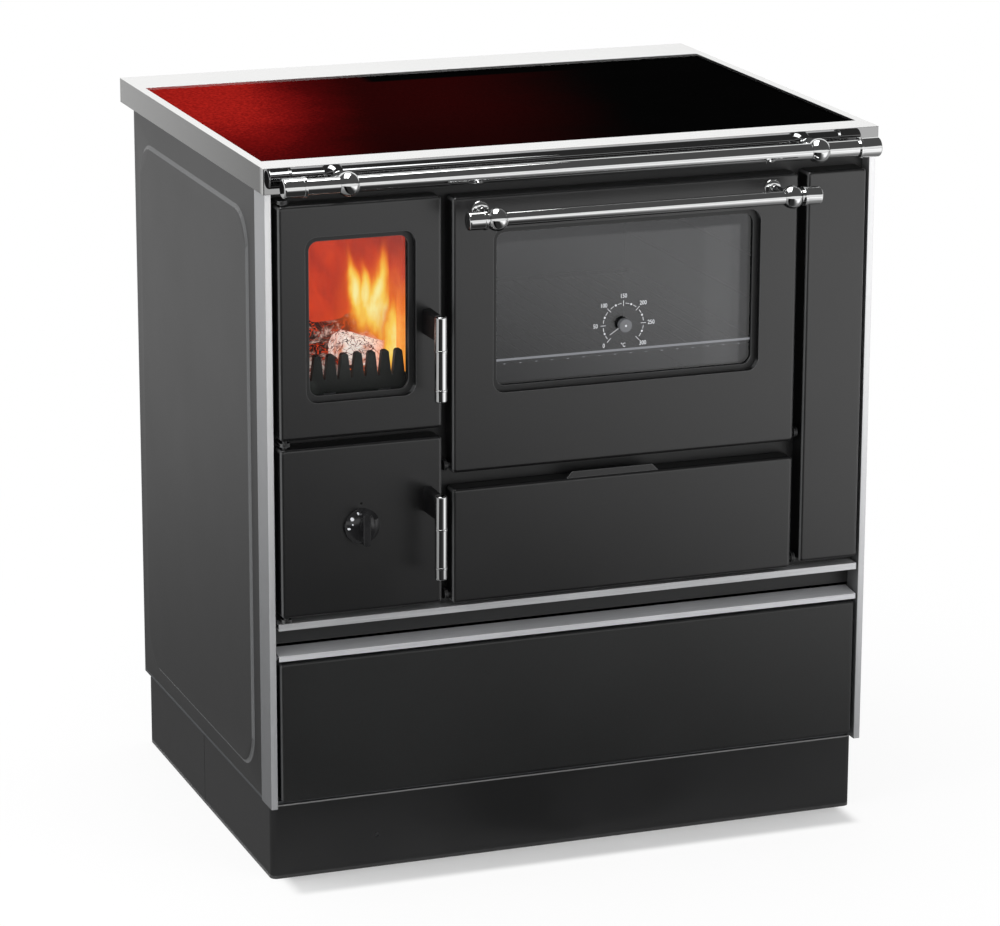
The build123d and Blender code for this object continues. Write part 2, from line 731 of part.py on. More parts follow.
with BuildPart() as hob_rail_posts:
    for x in (-HOB_POST_HALF, HOB_POST_HALF):
        add(ball_post(x, HOB_RAIL, HOB_RAIL_R, HOB_BALL_R, HOB_DEPTHS[0]))
hob_rail_posts.part.label = "hob_rail_posts"
export_step(hob_rail_posts.part, "parts/hob_rail_posts.step")

with BuildPart() as hob_rail_caps:
    add(rail_cap(HOB_RAIL_HALF, HOB_RAIL, HOB_RAIL_R, HOB_CAP_R, HOB_CAP))
    mirror(about=Plane.YZ)
hob_rail_caps.part.label = "hob_rail_caps"
export_step(hob_rail_caps.part, "parts/hob_rail_caps.step")


# ----------------------------------------------------------------------------- firebox
def gas_window(x):
    """Where the flue gas leaves the firebox, above the bricks and towards the oven."""
    wall_x = (x - FIREBOX_WALL, x + FIREBOX_WALL)
    block(inset(wall_x, -1), GAS_WINDOW_DEPTHS, GAS_WINDOW_Z, Mode.SUBTRACT)


with BuildPart() as mid_shelf:
    block((-SIDE_IN, SIDE_IN), (DECK_FRONT, BACK_DEPTHS[0]), SHELF_Z)
    block((-TRIM_IN, TRIM_IN), (PLATE_DEPTHS[1], DECK_FRONT), SHELF_Z)
mid_shelf.part.label = "mid_shelf"
export_step(mid_shelf.part, "parts/mid_shelf.step")

with BuildPart() as firebox_shell:
    shell_depths = (PLATE_DEPTHS[1], FIREBOX_BACK)
    inner_x = inset(FIREBOX_X, FIREBOX_WALL)
    inner_depths = (PLATE_DEPTHS[1], FIREBOX_BACK - FIREBOX_WALL)
    block(FIREBOX_X, shell_depths, (SHELF_Z[1], BODY_TOP - DECK))
    for chamber_z in (
        (SHELF_Z[1], ASH_FLOOR_Z[0]),
        (ASH_FLOOR_Z[1], HEARTH_Z[0]),
        (HEARTH_Z[1], BODY_TOP - DECK),
    ):
        block(inner_x, inner_depths, chamber_z, Mode.SUBTRACT)
    grate_seat = (inset(GRATE_X, GRATE_LAP), inset(GRATE_DEPTHS, GRATE_LAP))
    block(*grate_seat, HEARTH_Z, Mode.SUBTRACT)
    gas_window(FIREBOX_X[1])
firebox_shell.part.label = "firebox_shell"
export_step(firebox_shell.part, "parts/firebox_shell.step")

with BuildPart() as firebrick_lining:
    brick_z = (HEARTH_Z[1], BRICK_TOP)
    brick_depths = (BRICK_FRONT, FIREBOX_BACK - FIREBOX_WALL)
    block(inner_x, brick_depths, brick_z)
    fire_depths = (BRICK_FRONT, brick_depths[1] - BRICK)
    block(inset(inner_x, BRICK), fire_depths, brick_z, Mode.SUBTRACT)
firebrick_lining.part.label = "firebrick_lining"
export_step(firebrick_lining.part, "parts/firebrick_lining.step")

with BuildPart() as fire_grate:
    with BuildSketch(Plane.XY.offset(HEARTH_Z[1])):
        with Locations((middle(GRATE_X), FACE + middle(GRATE_DEPTHS))):
            RectangleRounded(span(GRATE_X), span(GRATE_DEPTHS), GRATE_ROUND)
            with GridLocations(*GRATE_PITCH, *GRATE_SLOTS):
                SlotOverall(*GRATE_SLOT, rotation=90, mode=Mode.SUBTRACT)
    extrude(amount=GRATE_THICK)
fire_grate.part.label = "fire_grate"
export_step(fire_grate.part, "parts/fire_grate.step")

with BuildPart() as log_comb:
    with BuildSketch(facing(COMB_DEPTHS[1])) as comb_outline:
        with Locations((middle(COMB_X), middle((HEARTH_Z[1], COMB_VALLEY)))):
            Rectangle(span(COMB_X), COMB_VALLEY - HEARTH_Z[1])
        with Locations((middle(COMB_X), middle((COMB_VALLEY, COMB_TIP)))):
            with GridLocations(COMB_PITCH, 0, COMB_FINGERS, 1):
                Trapezoid(FINGER_ROOT, COMB_TIP - COMB_VALLEY, FINGER_SLOPE)
        fillet(comb_outline.vertices().group_by(Axis.Y)[-1], FINGER_ROUND)
    extrude(amount=span(COMB_DEPTHS))
log_comb.part.label = "log_comb"
export_step(log_comb.part, "parts/log_comb.step")

PAN_X = (-332, -208)
PAN_DEPTHS = (30, 400)
PAN_TOP = 430
PAN_LIP = (8, 11)
PAN_LIP_Z = 403

with BuildPart() as ash_pan:
    lip_x = inset(PAN_X, span(PAN_X) / 3)
    lip_front = PAN_DEPTHS[0] - PAN_LIP[0]
    add(tray(PAN_X, PAN_DEPTHS, (ASH_FLOOR_Z[1], PAN_TOP), THIN))
    block(lip_x, (lip_front, PAN_DEPTHS[0]), (PAN_LIP_Z - FIREBOX_WALL, PAN_LIP_Z))
    block(lip_x, (lip_front, lip_front + SHEET), (PAN_LIP_Z - PAN_LIP[1], PAN_LIP_Z))
ash_pan.part.label = "ash_pan"
export_step(ash_pan.part, "parts/ash_pan.step")

# -------------------------------------------------------------------------------- oven
MUFFLE_X = inset(OVEN_LINER_X, OPENING_STEP)
MUFFLE_Z = inset(OVEN_LINER_Z, OPENING_STEP)
RACK_X = inset(MUFFLE_X, 2)
RACK_DEPTHS = (50, 450)
RACK_Z = RIB_TOPS[0] + RACK_RAIL_R
RACK_ROUND = 10
WIRE_DROP = 2.2
RIB_THICK = 4
RIB_END = 20

with BuildPart() as oven_muffle:
    block(inset(MUFFLE_X, -THIN), (PLATE_DEPTHS[1], OVEN_BACK), inset(MUFFLE_Z, -THIN))
    offset(amount=-THIN, openings=oven_muffle.faces().sort_by(Axis.Y)[0])
    rib_depths = (PLATE_DEPTHS[1] + RIB_END, OVEN_BACK - RIB_END)
    for rib_top in RIB_TOPS:
        rib_z = (rib_top - RIB_THICK, rib_top)
        block((MUFFLE_X[0], MUFFLE_X[0] + RIB), rib_depths, rib_z)
        block((MUFFLE_X[1] - RIB, MUFFLE_X[1]), rib_depths, rib_z)
oven_muffle.part.label = "oven_muffle"
export_step(oven_muffle.part, "parts/oven_muffle.step")

with BuildPart() as oven_rack:
    with BuildSketch(Plane.XY.offset(RACK_Z - RACK_RAIL_R)):
        with Locations((middle(RACK_X), FACE + middle(RACK_DEPTHS))):
            RectangleRounded(span(RACK_X), span(RACK_DEPTHS), RACK_ROUND)
            rack_hole = (span(RACK_X) - 4 * RACK_RAIL_R, span(RACK_DEPTHS) - 4 * RACK_RAIL_R)
            RectangleRounded(*rack_hole, RACK_ROUND / 2, mode=Mode.SUBTRACT)
    extrude(amount=2 * RACK_RAIL_R)
    wire_pitch = span(RACK_X) / (RACK_WIRES + 1)
    for index in range(RACK_WIRES):
        wire_x = RACK_X[0] + wire_pitch * (index + 1)
        bar_y(wire_x, inset(RACK_DEPTHS, 1), RACK_Z - WIRE_DROP, RACK_WIRE_R)
oven_rack.part.label = "oven_rack"
export_step(oven_rack.part, "parts/oven_rack.step")

with BuildPart() as flue_casing:
    casing_z = (SHELF_Z[1], BODY_TOP - DECK)
    block(CASING_X, (PLATE_DEPTHS[1], CASING_BACK), casing_z)
    gas_depths = (PLATE_DEPTHS[1], CASING_BACK - SHEET)
    block(inset(CASING_X, SHEET), gas_depths, (SHELF_Z[1] + SHEET, BODY_TOP - DECK), Mode.SUBTRACT)
    gas_window(CASING_X[0])
    bar_y(FLUE_X, inset((gas_depths[1], CASING_BACK), -1), FLUE_Z, FLUE_R - SHEET, Mode.SUBTRACT)
flue_casing.part.label = "flue_casing"
export_step(flue_casing.part, "parts/flue_casing.step")

with BuildPart() as flue_collar:
    bar_y(FLUE_X, (CASING_BACK, CASING_BACK + SHEET), FLUE_Z, FLUE_R + FLUE_FLANGE)
    bar_y(FLUE_X, (CASING_BACK, HOB_DEPTHS[1]), FLUE_Z, FLUE_R)
    bar_y(FLUE_X, (BACK_DEPTHS[1] + 1, BACK_DEPTHS[1] + 1 + FLUE_BEAD), FLUE_Z, FLUE_BEAD_R)
    bar_y(FLUE_X, (CASING_BACK, HOB_DEPTHS[1]), FLUE_Z, FLUE_R - SHEET, Mode.SUBTRACT)
flue_collar.part.label = "flue_collar"
export_step(flue_collar.part, "parts/flue_collar.step")

# ------------------------------------------------------------------------ firebox door
with BuildPart() as firebox_door_panel:
    add(glazed_panel(LEFT_DOORS_X, FIRE_DOOR_Z, FIRE_WINDOW_X, FIRE_WINDOW_Z))
    upright_eyes(FIRE_DOOR_Z)
    bar_y(HANDLE_X, (DOOR_FRONT - 1, 0), FIRE_HANDLE_Z, SHAFT_R + FIT, Mode.SUBTRACT)
firebox_door_panel.part.label = "firebox_door_panel"
export_step(firebox_door_panel.part, "parts/firebox_door_panel.step")

with BuildPart() as firebox_door_liner:
    add(door_liner(LEFT_LINER_X, FIRE_LINER_Z))
    add(window_opening(FIRE_WINDOW_X, FIRE_WINDOW_Z), mode=Mode.SUBTRACT)
firebox_door_liner.part.label = "firebox_door_liner"
export_step(firebox_door_liner.part, "parts/firebox_door_liner.step")

with BuildPart() as firebox_glass:
    add(pane(FIRE_WINDOW_X, FIRE_WINDOW_Z))
firebox_glass.part.label = "firebox_glass"
export_step(firebox_glass.part, "parts/firebox_glass.step")

with BuildPart() as firebox_glass_clips:
    add(glass_clips(FIRE_WINDOW_X, FIRE_WINDOW_Z))
firebox_glass_clips.part.label = "firebox_glass_clips"
export_step(firebox_glass_clips.part, "parts/firebox_glass_clips.step")

with BuildPart() as firebox_door_seal:
    add(rope_seal(LEFT_LINER_X, FIRE_LINER_Z))
firebox_door_seal.part.label = "firebox_door_seal"
export_step(firebox_door_seal.part, "parts/firebox_door_seal.step")

with BuildPart() as fire_handle_hub:
    add(lever_hub(FIRE_HANDLE_Z))
fire_handle_hub.part.label = "fire_handle_hub"
export_step(fire_handle_hub.part, "parts/fire_handle_hub.step")

with BuildPart() as fire_handle_grip:
    add(lever_grip(FIRE_HANDLE_Z))
fire_handle_grip.part.label = "fire_handle_grip"
export_step(fire_handle_grip.part, "parts/fire_handle_grip.step")


# ---------------------------------------------------------------------------- ash door
SLOT_PITCH = 24
SLOT_COUNT = 4
SLOT_SIZE = (18, 4)


def air_holes(mode):
    """Three round air holes about the knob's shaft, in the sketch that is open."""
    with PolarLocations(AIR_CIRCLE, 3):
        Circle(AIR_HOLE_R, mode=mode)


with BuildPart() as ash_door_panel:
    add(pressed_panel(LEFT_DOORS_X, ASH_DOOR_Z, (DOOR_FRONT, DOOR_BACK)))
    upright_eyes(ASH_DOOR_Z)
    spacers(LEFT_LINER_X, ASH_LINER_Z)
    bar_y(HANDLE_X, (DOOR_FRONT - 1, 0), ASH_HANDLE_Z, SHAFT_R + FIT, Mode.SUBTRACT)
    bar_y(KNOB_X, (DOOR_FRONT - 1, 0), KNOB_Z, KNOB_SHAFT_R + FIT, Mode.SUBTRACT)
    with BuildSketch(Plane.XY.offset(ASH_DOOR_Z[0])):
        with Locations((KNOB_X, FACE + (DOOR_FRONT + SHEET + LINER_FRONT) / 2)):
            with GridLocations(SLOT_PITCH, 0, SLOT_COUNT, 1):
                SlotOverall(*SLOT_SIZE)
    extrude(amount=SHEET, mode=Mode.SUBTRACT)
ash_door_panel.part.label = "ash_door_panel"
export_step(ash_door_panel.part, "parts/ash_door_panel.step")

with BuildPart() as ash_door_liner:
    add(door_liner(LEFT_LINER_X, ASH_LINER_Z))
    with BuildSketch(facing(LINER_FRONT + LINER_PLATE)):
        with Locations((KNOB_X, KNOB_Z)):
            Circle(KNOB_SHAFT_R + FIT)
            air_holes(Mode.ADD)
    extrude(amount=LINER_PLATE, mode=Mode.SUBTRACT)
ash_door_liner.part.label = "ash_door_liner"
export_step(ash_door_liner.part, "parts/ash_door_liner.step")

with BuildPart() as ash_door_seal:
    add(rope_seal(LEFT_LINER_X, ASH_LINER_Z))
ash_door_seal.part.label = "ash_door_seal"
export_step(ash_door_seal.part, "parts/ash_door_seal.step")

with BuildPart() as ash_handle_hub:
    add(lever_hub(ASH_HANDLE_Z))
ash_handle_hub.part.label = "ash_handle_hub"
export_step(ash_handle_hub.part, "parts/ash_handle_hub.step")

with BuildPart() as ash_handle_grip:
    add(lever_grip(ASH_HANDLE_Z))
ash_handle_grip.part.label = "ash_handle_grip"
export_step(ash_handle_grip.part, "parts/ash_handle_grip.step")

with BuildPart() as air_knob:
    knob_base = DOOR_FRONT - HUB_GAP
    with BuildSketch(Plane((KNOB_X, FACE + knob_base, KNOB_Z))):
        with BuildLine():
            Polyline((0, -KNOB_DOME), (0, 0), (KNOB_R, 0), (KNOB_R, -KNOB_RIM))
            ThreePointArc((KNOB_R, -KNOB_RIM), (KNOB_R * 0.72, -KNOB_SKIRT), (0, -KNOB_DOME))
        make_face()
    revolve(axis=Axis((KNOB_X, FACE + knob_base, KNOB_Z), (0, 1, 0)))
    with BuildSketch(facing(knob_base)):
        with Locations((KNOB_X, KNOB_Z)):
            SlotOverall(*WING, rotation=90)
    extrude(amount=KNOB_PROUD - HUB_GAP)
    chamfer(air_knob.faces().sort_by(Axis.Y)[0].edges(), WING_EDGE)
    bar_y(KNOB_X, (knob_base, AIR_DISC_DEPTHS[1]), KNOB_Z, KNOB_SHAFT_R)
air_knob.part.label = "air_knob"
export_step(air_knob.part, "parts/air_knob.step")

with BuildPart() as air_disc:
    with BuildSketch(facing(AIR_DISC_DEPTHS[1])):
        with Locations((KNOB_X, KNOB_Z)):
            Circle(AIR_DISC_R)
            Circle(KNOB_SHAFT_R, mode=Mode.SUBTRACT)
            air_holes(Mode.SUBTRACT)
    extrude(amount=span(AIR_DISC_DEPTHS))
air_disc.part.label = "air_disc"
export_step(air_disc.part, "parts/air_disc.step")

# --------------------------------------------------------------------------- oven door
OVEN_POSTS = (DIAL_X - OVEN_POST_HALF, DIAL_X + OVEN_POST_HALF)
OVEN_RAIL_ENDS = (DIAL_X - OVEN_RAIL_HALF, DIAL_X + OVEN_RAIL_HALF)

with BuildPart() as oven_door_panel:
    add(glazed_panel(OVEN_X, OVEN_DOOR_Z, OVEN_WINDOW_X, OVEN_WINDOW_Z))
    level_eyes(OVEN_AXIS, OVEN_LINER_Z[0])
oven_door_panel.part.label = "oven_door_panel"
export_step(oven_door_panel.part, "parts/oven_door_panel.step")

with BuildPart() as oven_door_liner:
    add(door_liner(OVEN_LINER_X, OVEN_LINER_Z))
    add(window_opening(OVEN_WINDOW_X, OVEN_WINDOW_Z), mode=Mode.SUBTRACT)
oven_door_liner.part.label = "oven_door_liner"
export_step(oven_door_liner.part, "parts/oven_door_liner.step")

with BuildPart() as oven_glass:
    add(pane(OVEN_WINDOW_X, OVEN_WINDOW_Z))
    bar_y(DIAL_X, inset(PANE_DEPTHS, -1), DIAL_Z, SPINDLE_BORE_R, Mode.SUBTRACT)
oven_glass.part.label = "oven_glass"
export_step(oven_glass.part, "parts/oven_glass.step")

with BuildPart() as oven_glass_clips:
    add(glass_clips(OVEN_WINDOW_X, OVEN_WINDOW_Z))
oven_glass_clips.part.label = "oven_glass_clips"
export_step(oven_glass_clips.part, "parts/oven_glass_clips.step")

with BuildPart() as oven_door_seal:
    add(rope_seal(OVEN_LINER_X, OVEN_LINER_Z))
oven_door_seal.part.label = "oven_door_seal"
export_step(oven_door_seal.part, "parts/oven_door_seal.step")

with BuildPart() as oven_rail:
    bar_x(inset(OVEN_RAIL_ENDS, CAP_END), *OVEN_RAIL, OVEN_RAIL_R)
oven_rail.part.label = "oven_rail"
export_step(oven_rail.part, "parts/oven_rail.step")

with BuildPart() as oven_rail_posts:
    for x in OVEN_POSTS:
        add(ball_post(x, OVEN_RAIL, OVEN_RAIL_R, OVEN_BALL_R, DOOR_FRONT))
oven_rail_posts.part.label = "oven_rail_posts"
export_step(oven_rail_posts.part, "parts/oven_rail_posts.step")

with BuildPart() as oven_rail_caps:
    add(rail_cap(OVEN_RAIL_ENDS[1], OVEN_RAIL, OVEN_RAIL_R, OVEN_CAP_R, OVEN_CAP))
    mirror(about=Plane.YZ.offset(DIAL_X))
oven_rail_caps.part.label = "oven_rail_caps"
export_step(oven_rail_caps.part, "parts/oven_rail_caps.step")

# The needle turns on the hub's pin, between the hub and the glass that the nut clamps.
with BuildPart() as thermometer_hub:
    nut_depths = (PANE_DEPTHS[1], PANE_DEPTHS[1] + DIAL_NUT_THICK)
    bar_y(DIAL_X, DIAL_HUB_DEPTHS, DIAL_Z, DIAL_HUB_R)
    fillet(thermometer_hub.edges().sort_by(Axis.Y)[0], 1)
    bar_y(DIAL_X, (DIAL_HUB_DEPTHS[1], nut_depths[0]), DIAL_Z, SPINDLE_R)
    bar_y(DIAL_X, nut_depths, DIAL_Z, DIAL_NUT_R)
thermometer_hub.part.label = "thermometer_hub"
export_step(thermometer_hub.part, "parts/thermometer_hub.step")

# The needle rests at room warmth, a little above zero at the lower left.
with BuildPart() as thermometer_needle:
    rest = (-math.cos(NEEDLE_REST), 0, -math.sin(NEEDLE_REST))
    blade_back = (DIAL_X, FACE + NEEDLE_DEPTHS[1], DIAL_Z)
    with BuildSketch(Plane(blade_back, x_dir=rest, z_dir=(0, -1, 0))):
        tail, tip = (-NEEDLE_TAIL, 1), (NEEDLE_REACH, 0.4)
        Polygon((tail[0], -tail[1]), (tip[0], -tip[1]), tip, tail, align=None)
        Circle(NEEDLE_RING_R)
        Circle(SPINDLE_BORE_R, mode=Mode.SUBTRACT)
    extrude(amount=span(NEEDLE_DEPTHS))
thermometer_needle.part.label = "thermometer_needle"
export_step(thermometer_needle.part, "parts/thermometer_needle.step")

# --------------------------------------------------------------------------- soot flap
with BuildPart() as flap_panel:
    add(pressed_panel(OVEN_X, FLAP_Z, (DOOR_FRONT, DOOR_BACK)))
    level_eyes(FLAP_AXIS, FLAP_LINER_Z[0])
    spacers(OVEN_LINER_X, FLAP_LINER_Z)
    with BuildSketch(facing(DOOR_FRONT + 2 * SHEET)):
        with Locations((middle(TAB_X), FLAP_Z[1] + TAB_RISE / 2)):
            Trapezoid(span(TAB_X), TAB_RISE, 45)
    extrude(amount=SHEET)
    with BuildSketch(facing(DOOR_FRONT + 2 * SHEET)):
        with Locations((middle(TAB_X), FLAP_Z[1] - SHEET / 2)):
            Rectangle(span(TAB_X), SHEET)
    extrude(amount=SHEET)
flap_panel.part.label = "flap_panel"
export_step(flap_panel.part, "parts/flap_panel.step")

with BuildPart() as flap_liner:
    add(door_liner(OVEN_LINER_X, FLAP_LINER_Z, ROPE_BACK))
flap_liner.part.label = "flap_liner"
export_step(flap_liner.part, "parts/flap_liner.step")

# -------------------------------------------------------------------------- wood drawer
with BuildPart() as drawer_front:
    add(pressed_panel((-DRAWER_HALF, DRAWER_HALF), DRAWER_Z, (TRIM_LEVEL, PLATE_DEPTHS[0])))
drawer_front.part.label = "drawer_front"
export_step(drawer_front.part, "parts/drawer_front.step")

with BuildPart() as drawer_pull:
    front = FACE + TRIM_LEVEL
    leg = (FACE + PLATE_DEPTHS[0], FACE + BOX_DEPTHS[0])
    back = FACE + PULL_BACK
    top = LIP_Z[1]
    with BuildSketch(Plane.YZ.offset(-STRIP_HALF)):
        with BuildLine():
            Polyline(
                (front, LIP_Z[0]),
                (front, top),
                (back, top + PULL_RISE),
                (back, top + PULL_RISE - THIN),
                (leg[1], top + PULL_RISE - 2 * THIN),
                (leg[1], top - PULL_LEG),
                (leg[0], top - PULL_LEG),
                (leg[0], top),
                (front + THIN, top - THIN),
                (front + THIN, LIP_Z[0]),
                close=True,
            )
        make_face()
    extrude(amount=2 * STRIP_HALF)
drawer_pull.part.label = "drawer_pull"
export_step(drawer_pull.part, "parts/drawer_pull.step")

with BuildPart() as drawer_box:
    add(tray((-BOX_HALF, BOX_HALF), BOX_DEPTHS, BOX_Z, THIN))
    slide_depths = inset(BOX_DEPTHS, SLIDE_END)
    block(SLIDE_X, slide_depths, SLIDE_Z)
    block((-SLIDE_X[1], -SLIDE_X[0]), slide_depths, SLIDE_Z)
drawer_box.part.label = "drawer_box"
export_step(drawer_box.part, "parts/drawer_box.step")

# Channels that hold the drawer's slide rails, on a foot along the base plate.
with BuildPart() as drawer_runners:
    runner_depths = (RECESS_DEPTHS[1] + DECK, BOX_DEPTHS[1])
    catch_x = (SLIDE_X[0] + SHEET, SLIDE_X[1] + 1)
    web = (SLIDE_X[1] + 1, SLIDE_X[1] + 1 + SHEET)
    channel_z = inset(SLIDE_Z, -SLIDE_PLAY)
    block(web, runner_depths, (BODY_BOTTOM, channel_z[1] + SHEET))
    block((web[1], web[1] + RUNNER_FOOT), runner_depths, (BODY_BOTTOM, BODY_BOTTOM + SHEET))
    block(catch_x, runner_depths, (channel_z[0] - SHEET, channel_z[0]))
    block(catch_x, runner_depths, (channel_z[1], channel_z[1] + SHEET))
    mirror(about=Plane.YZ)
drawer_runners.part.label = "drawer_runners"
export_step(drawer_runners.part, "parts/drawer_runners.step")
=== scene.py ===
import json
import math
from functools import reduce

import bmesh
import bpy
from mathutils import Matrix, Vector, noise


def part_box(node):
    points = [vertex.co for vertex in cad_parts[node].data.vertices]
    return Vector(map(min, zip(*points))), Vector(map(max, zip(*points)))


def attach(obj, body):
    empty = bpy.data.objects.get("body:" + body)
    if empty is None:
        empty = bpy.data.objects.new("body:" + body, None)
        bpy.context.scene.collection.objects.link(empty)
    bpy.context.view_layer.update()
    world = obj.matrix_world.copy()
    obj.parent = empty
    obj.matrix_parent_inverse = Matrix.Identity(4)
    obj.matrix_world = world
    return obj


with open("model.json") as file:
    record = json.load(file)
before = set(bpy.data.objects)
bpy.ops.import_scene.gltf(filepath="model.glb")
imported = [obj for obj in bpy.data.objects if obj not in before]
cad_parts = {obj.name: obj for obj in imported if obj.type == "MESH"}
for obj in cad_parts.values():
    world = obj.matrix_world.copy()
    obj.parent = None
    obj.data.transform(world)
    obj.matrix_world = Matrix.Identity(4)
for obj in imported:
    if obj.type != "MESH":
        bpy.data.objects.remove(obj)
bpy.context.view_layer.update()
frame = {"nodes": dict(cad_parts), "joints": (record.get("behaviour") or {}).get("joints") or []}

MM = 0.001
ACROSS, BACK, UP = range(3)  # the axes: x to the right, y to the back, z upward
CRISP = math.radians(32)  # edges that turn by more than this stay sharp
BLACK, WHITE = (0, 0, 0, 1), (1, 1, 1, 1)


def front(node):
    """Where a node's foremost face stands."""
    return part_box(node)[0].y


FACE = front("corner_trim_left")


def at(across, depth, height):
    """A place from the stove's millimetres: across, back from the trims' faces, up."""
    return Vector((across * MM, FACE + depth * MM, height * MM))


def on_axis(joint, depth):
    """The point at a depth on the axis of a joint that turns about the front-to-back way."""
    across, _, height = next(row["pos_m"] for row in frame["joints"] if row["name"] == joint)
    return Vector((across, depth, height))


def linear(part):
    """One part of a screen's colour as the linear light that a shader takes."""
    return part / 12.92 if part <= 0.04045 else ((part + 0.055) / 1.055) ** 2.4


def colour(written):
    """A colour as it is written for a screen, such as ff9a35, for a shader's socket."""
    parts = (int(written[i : i + 2], 16) / 255 for i in (0, 2, 4))
    return (*map(linear, parts), 1.0)


def shaded(shade, share):
    """The colour with only a share of its light."""
    return (*(part * share for part in shade[:3]), 1.0)


# ------------------------------------------------------------------------ shader sums
class Signal:
    """A shader socket: sums written with it add Math nodes."""

    def __init__(self, finish, socket):
        self.finish = finish
        self.socket = socket

    def sum(self, operation, *values, clamp=False):
        settings = {"operation": operation, "use_clamp": clamp}
        return self.finish.node("ShaderNodeMath", settings, dict(enumerate(values)))

    def __add__(self, other):
        return self.sum("ADD", self, other)

    __radd__ = __add__

    def __sub__(self, other):
        return self.sum("SUBTRACT", self, other)

    def __rsub__(self, other):
        return self.sum("SUBTRACT", other, self)

    def __mul__(self, other):
        return self.sum("MULTIPLY", self, other)

    __rmul__ = __mul__

    def __truediv__(self, other):
        return self.sum("DIVIDE", self, other)

    def __rtruediv__(self, other):
        return self.sum("DIVIDE", other, self)

    def __pow__(self, other):
        return self.sum("POWER", self, other)

    def __neg__(self):
        return self.sum("MULTIPLY", self, -1.0)

    def __abs__(self):
        return self.sum("ABSOLUTE", self)

    def angle(self, other):
        """The angle, in radians, of a direction with this much aside and other ahead."""
        return self.sum("ARCTAN2", self, other)

    def brighter(self, other):
        """The larger of the two at each point."""
        return self.sum("MAXIMUM", self, other)

    def clamped(self):
        return self.sum("ADD", self, 0.0, clamp=True)

    def ramp(self, low, high, first=0.0, last=1.0):
        """Turns smoothly from first to last while the signal runs from low to high."""
        settings = {"interpolation_type": "SMOOTHSTEP", "clamp": True}
        inputs = {0: self, 1: low, 2: high, 3: first, 4: last}
        return self.finish.node("ShaderNodeMapRange", settings, inputs)

    def fall(self, low, high):
        """Falls smoothly from one to zero while the signal runs from low to high."""
        return self.ramp(low, high, 1.0, 0.0)

    def band(self, start, full, fading, end):
        """One from full to fading, and zero before the start and past the end."""
        return self.ramp(start, full) * self.fall(fading, end)


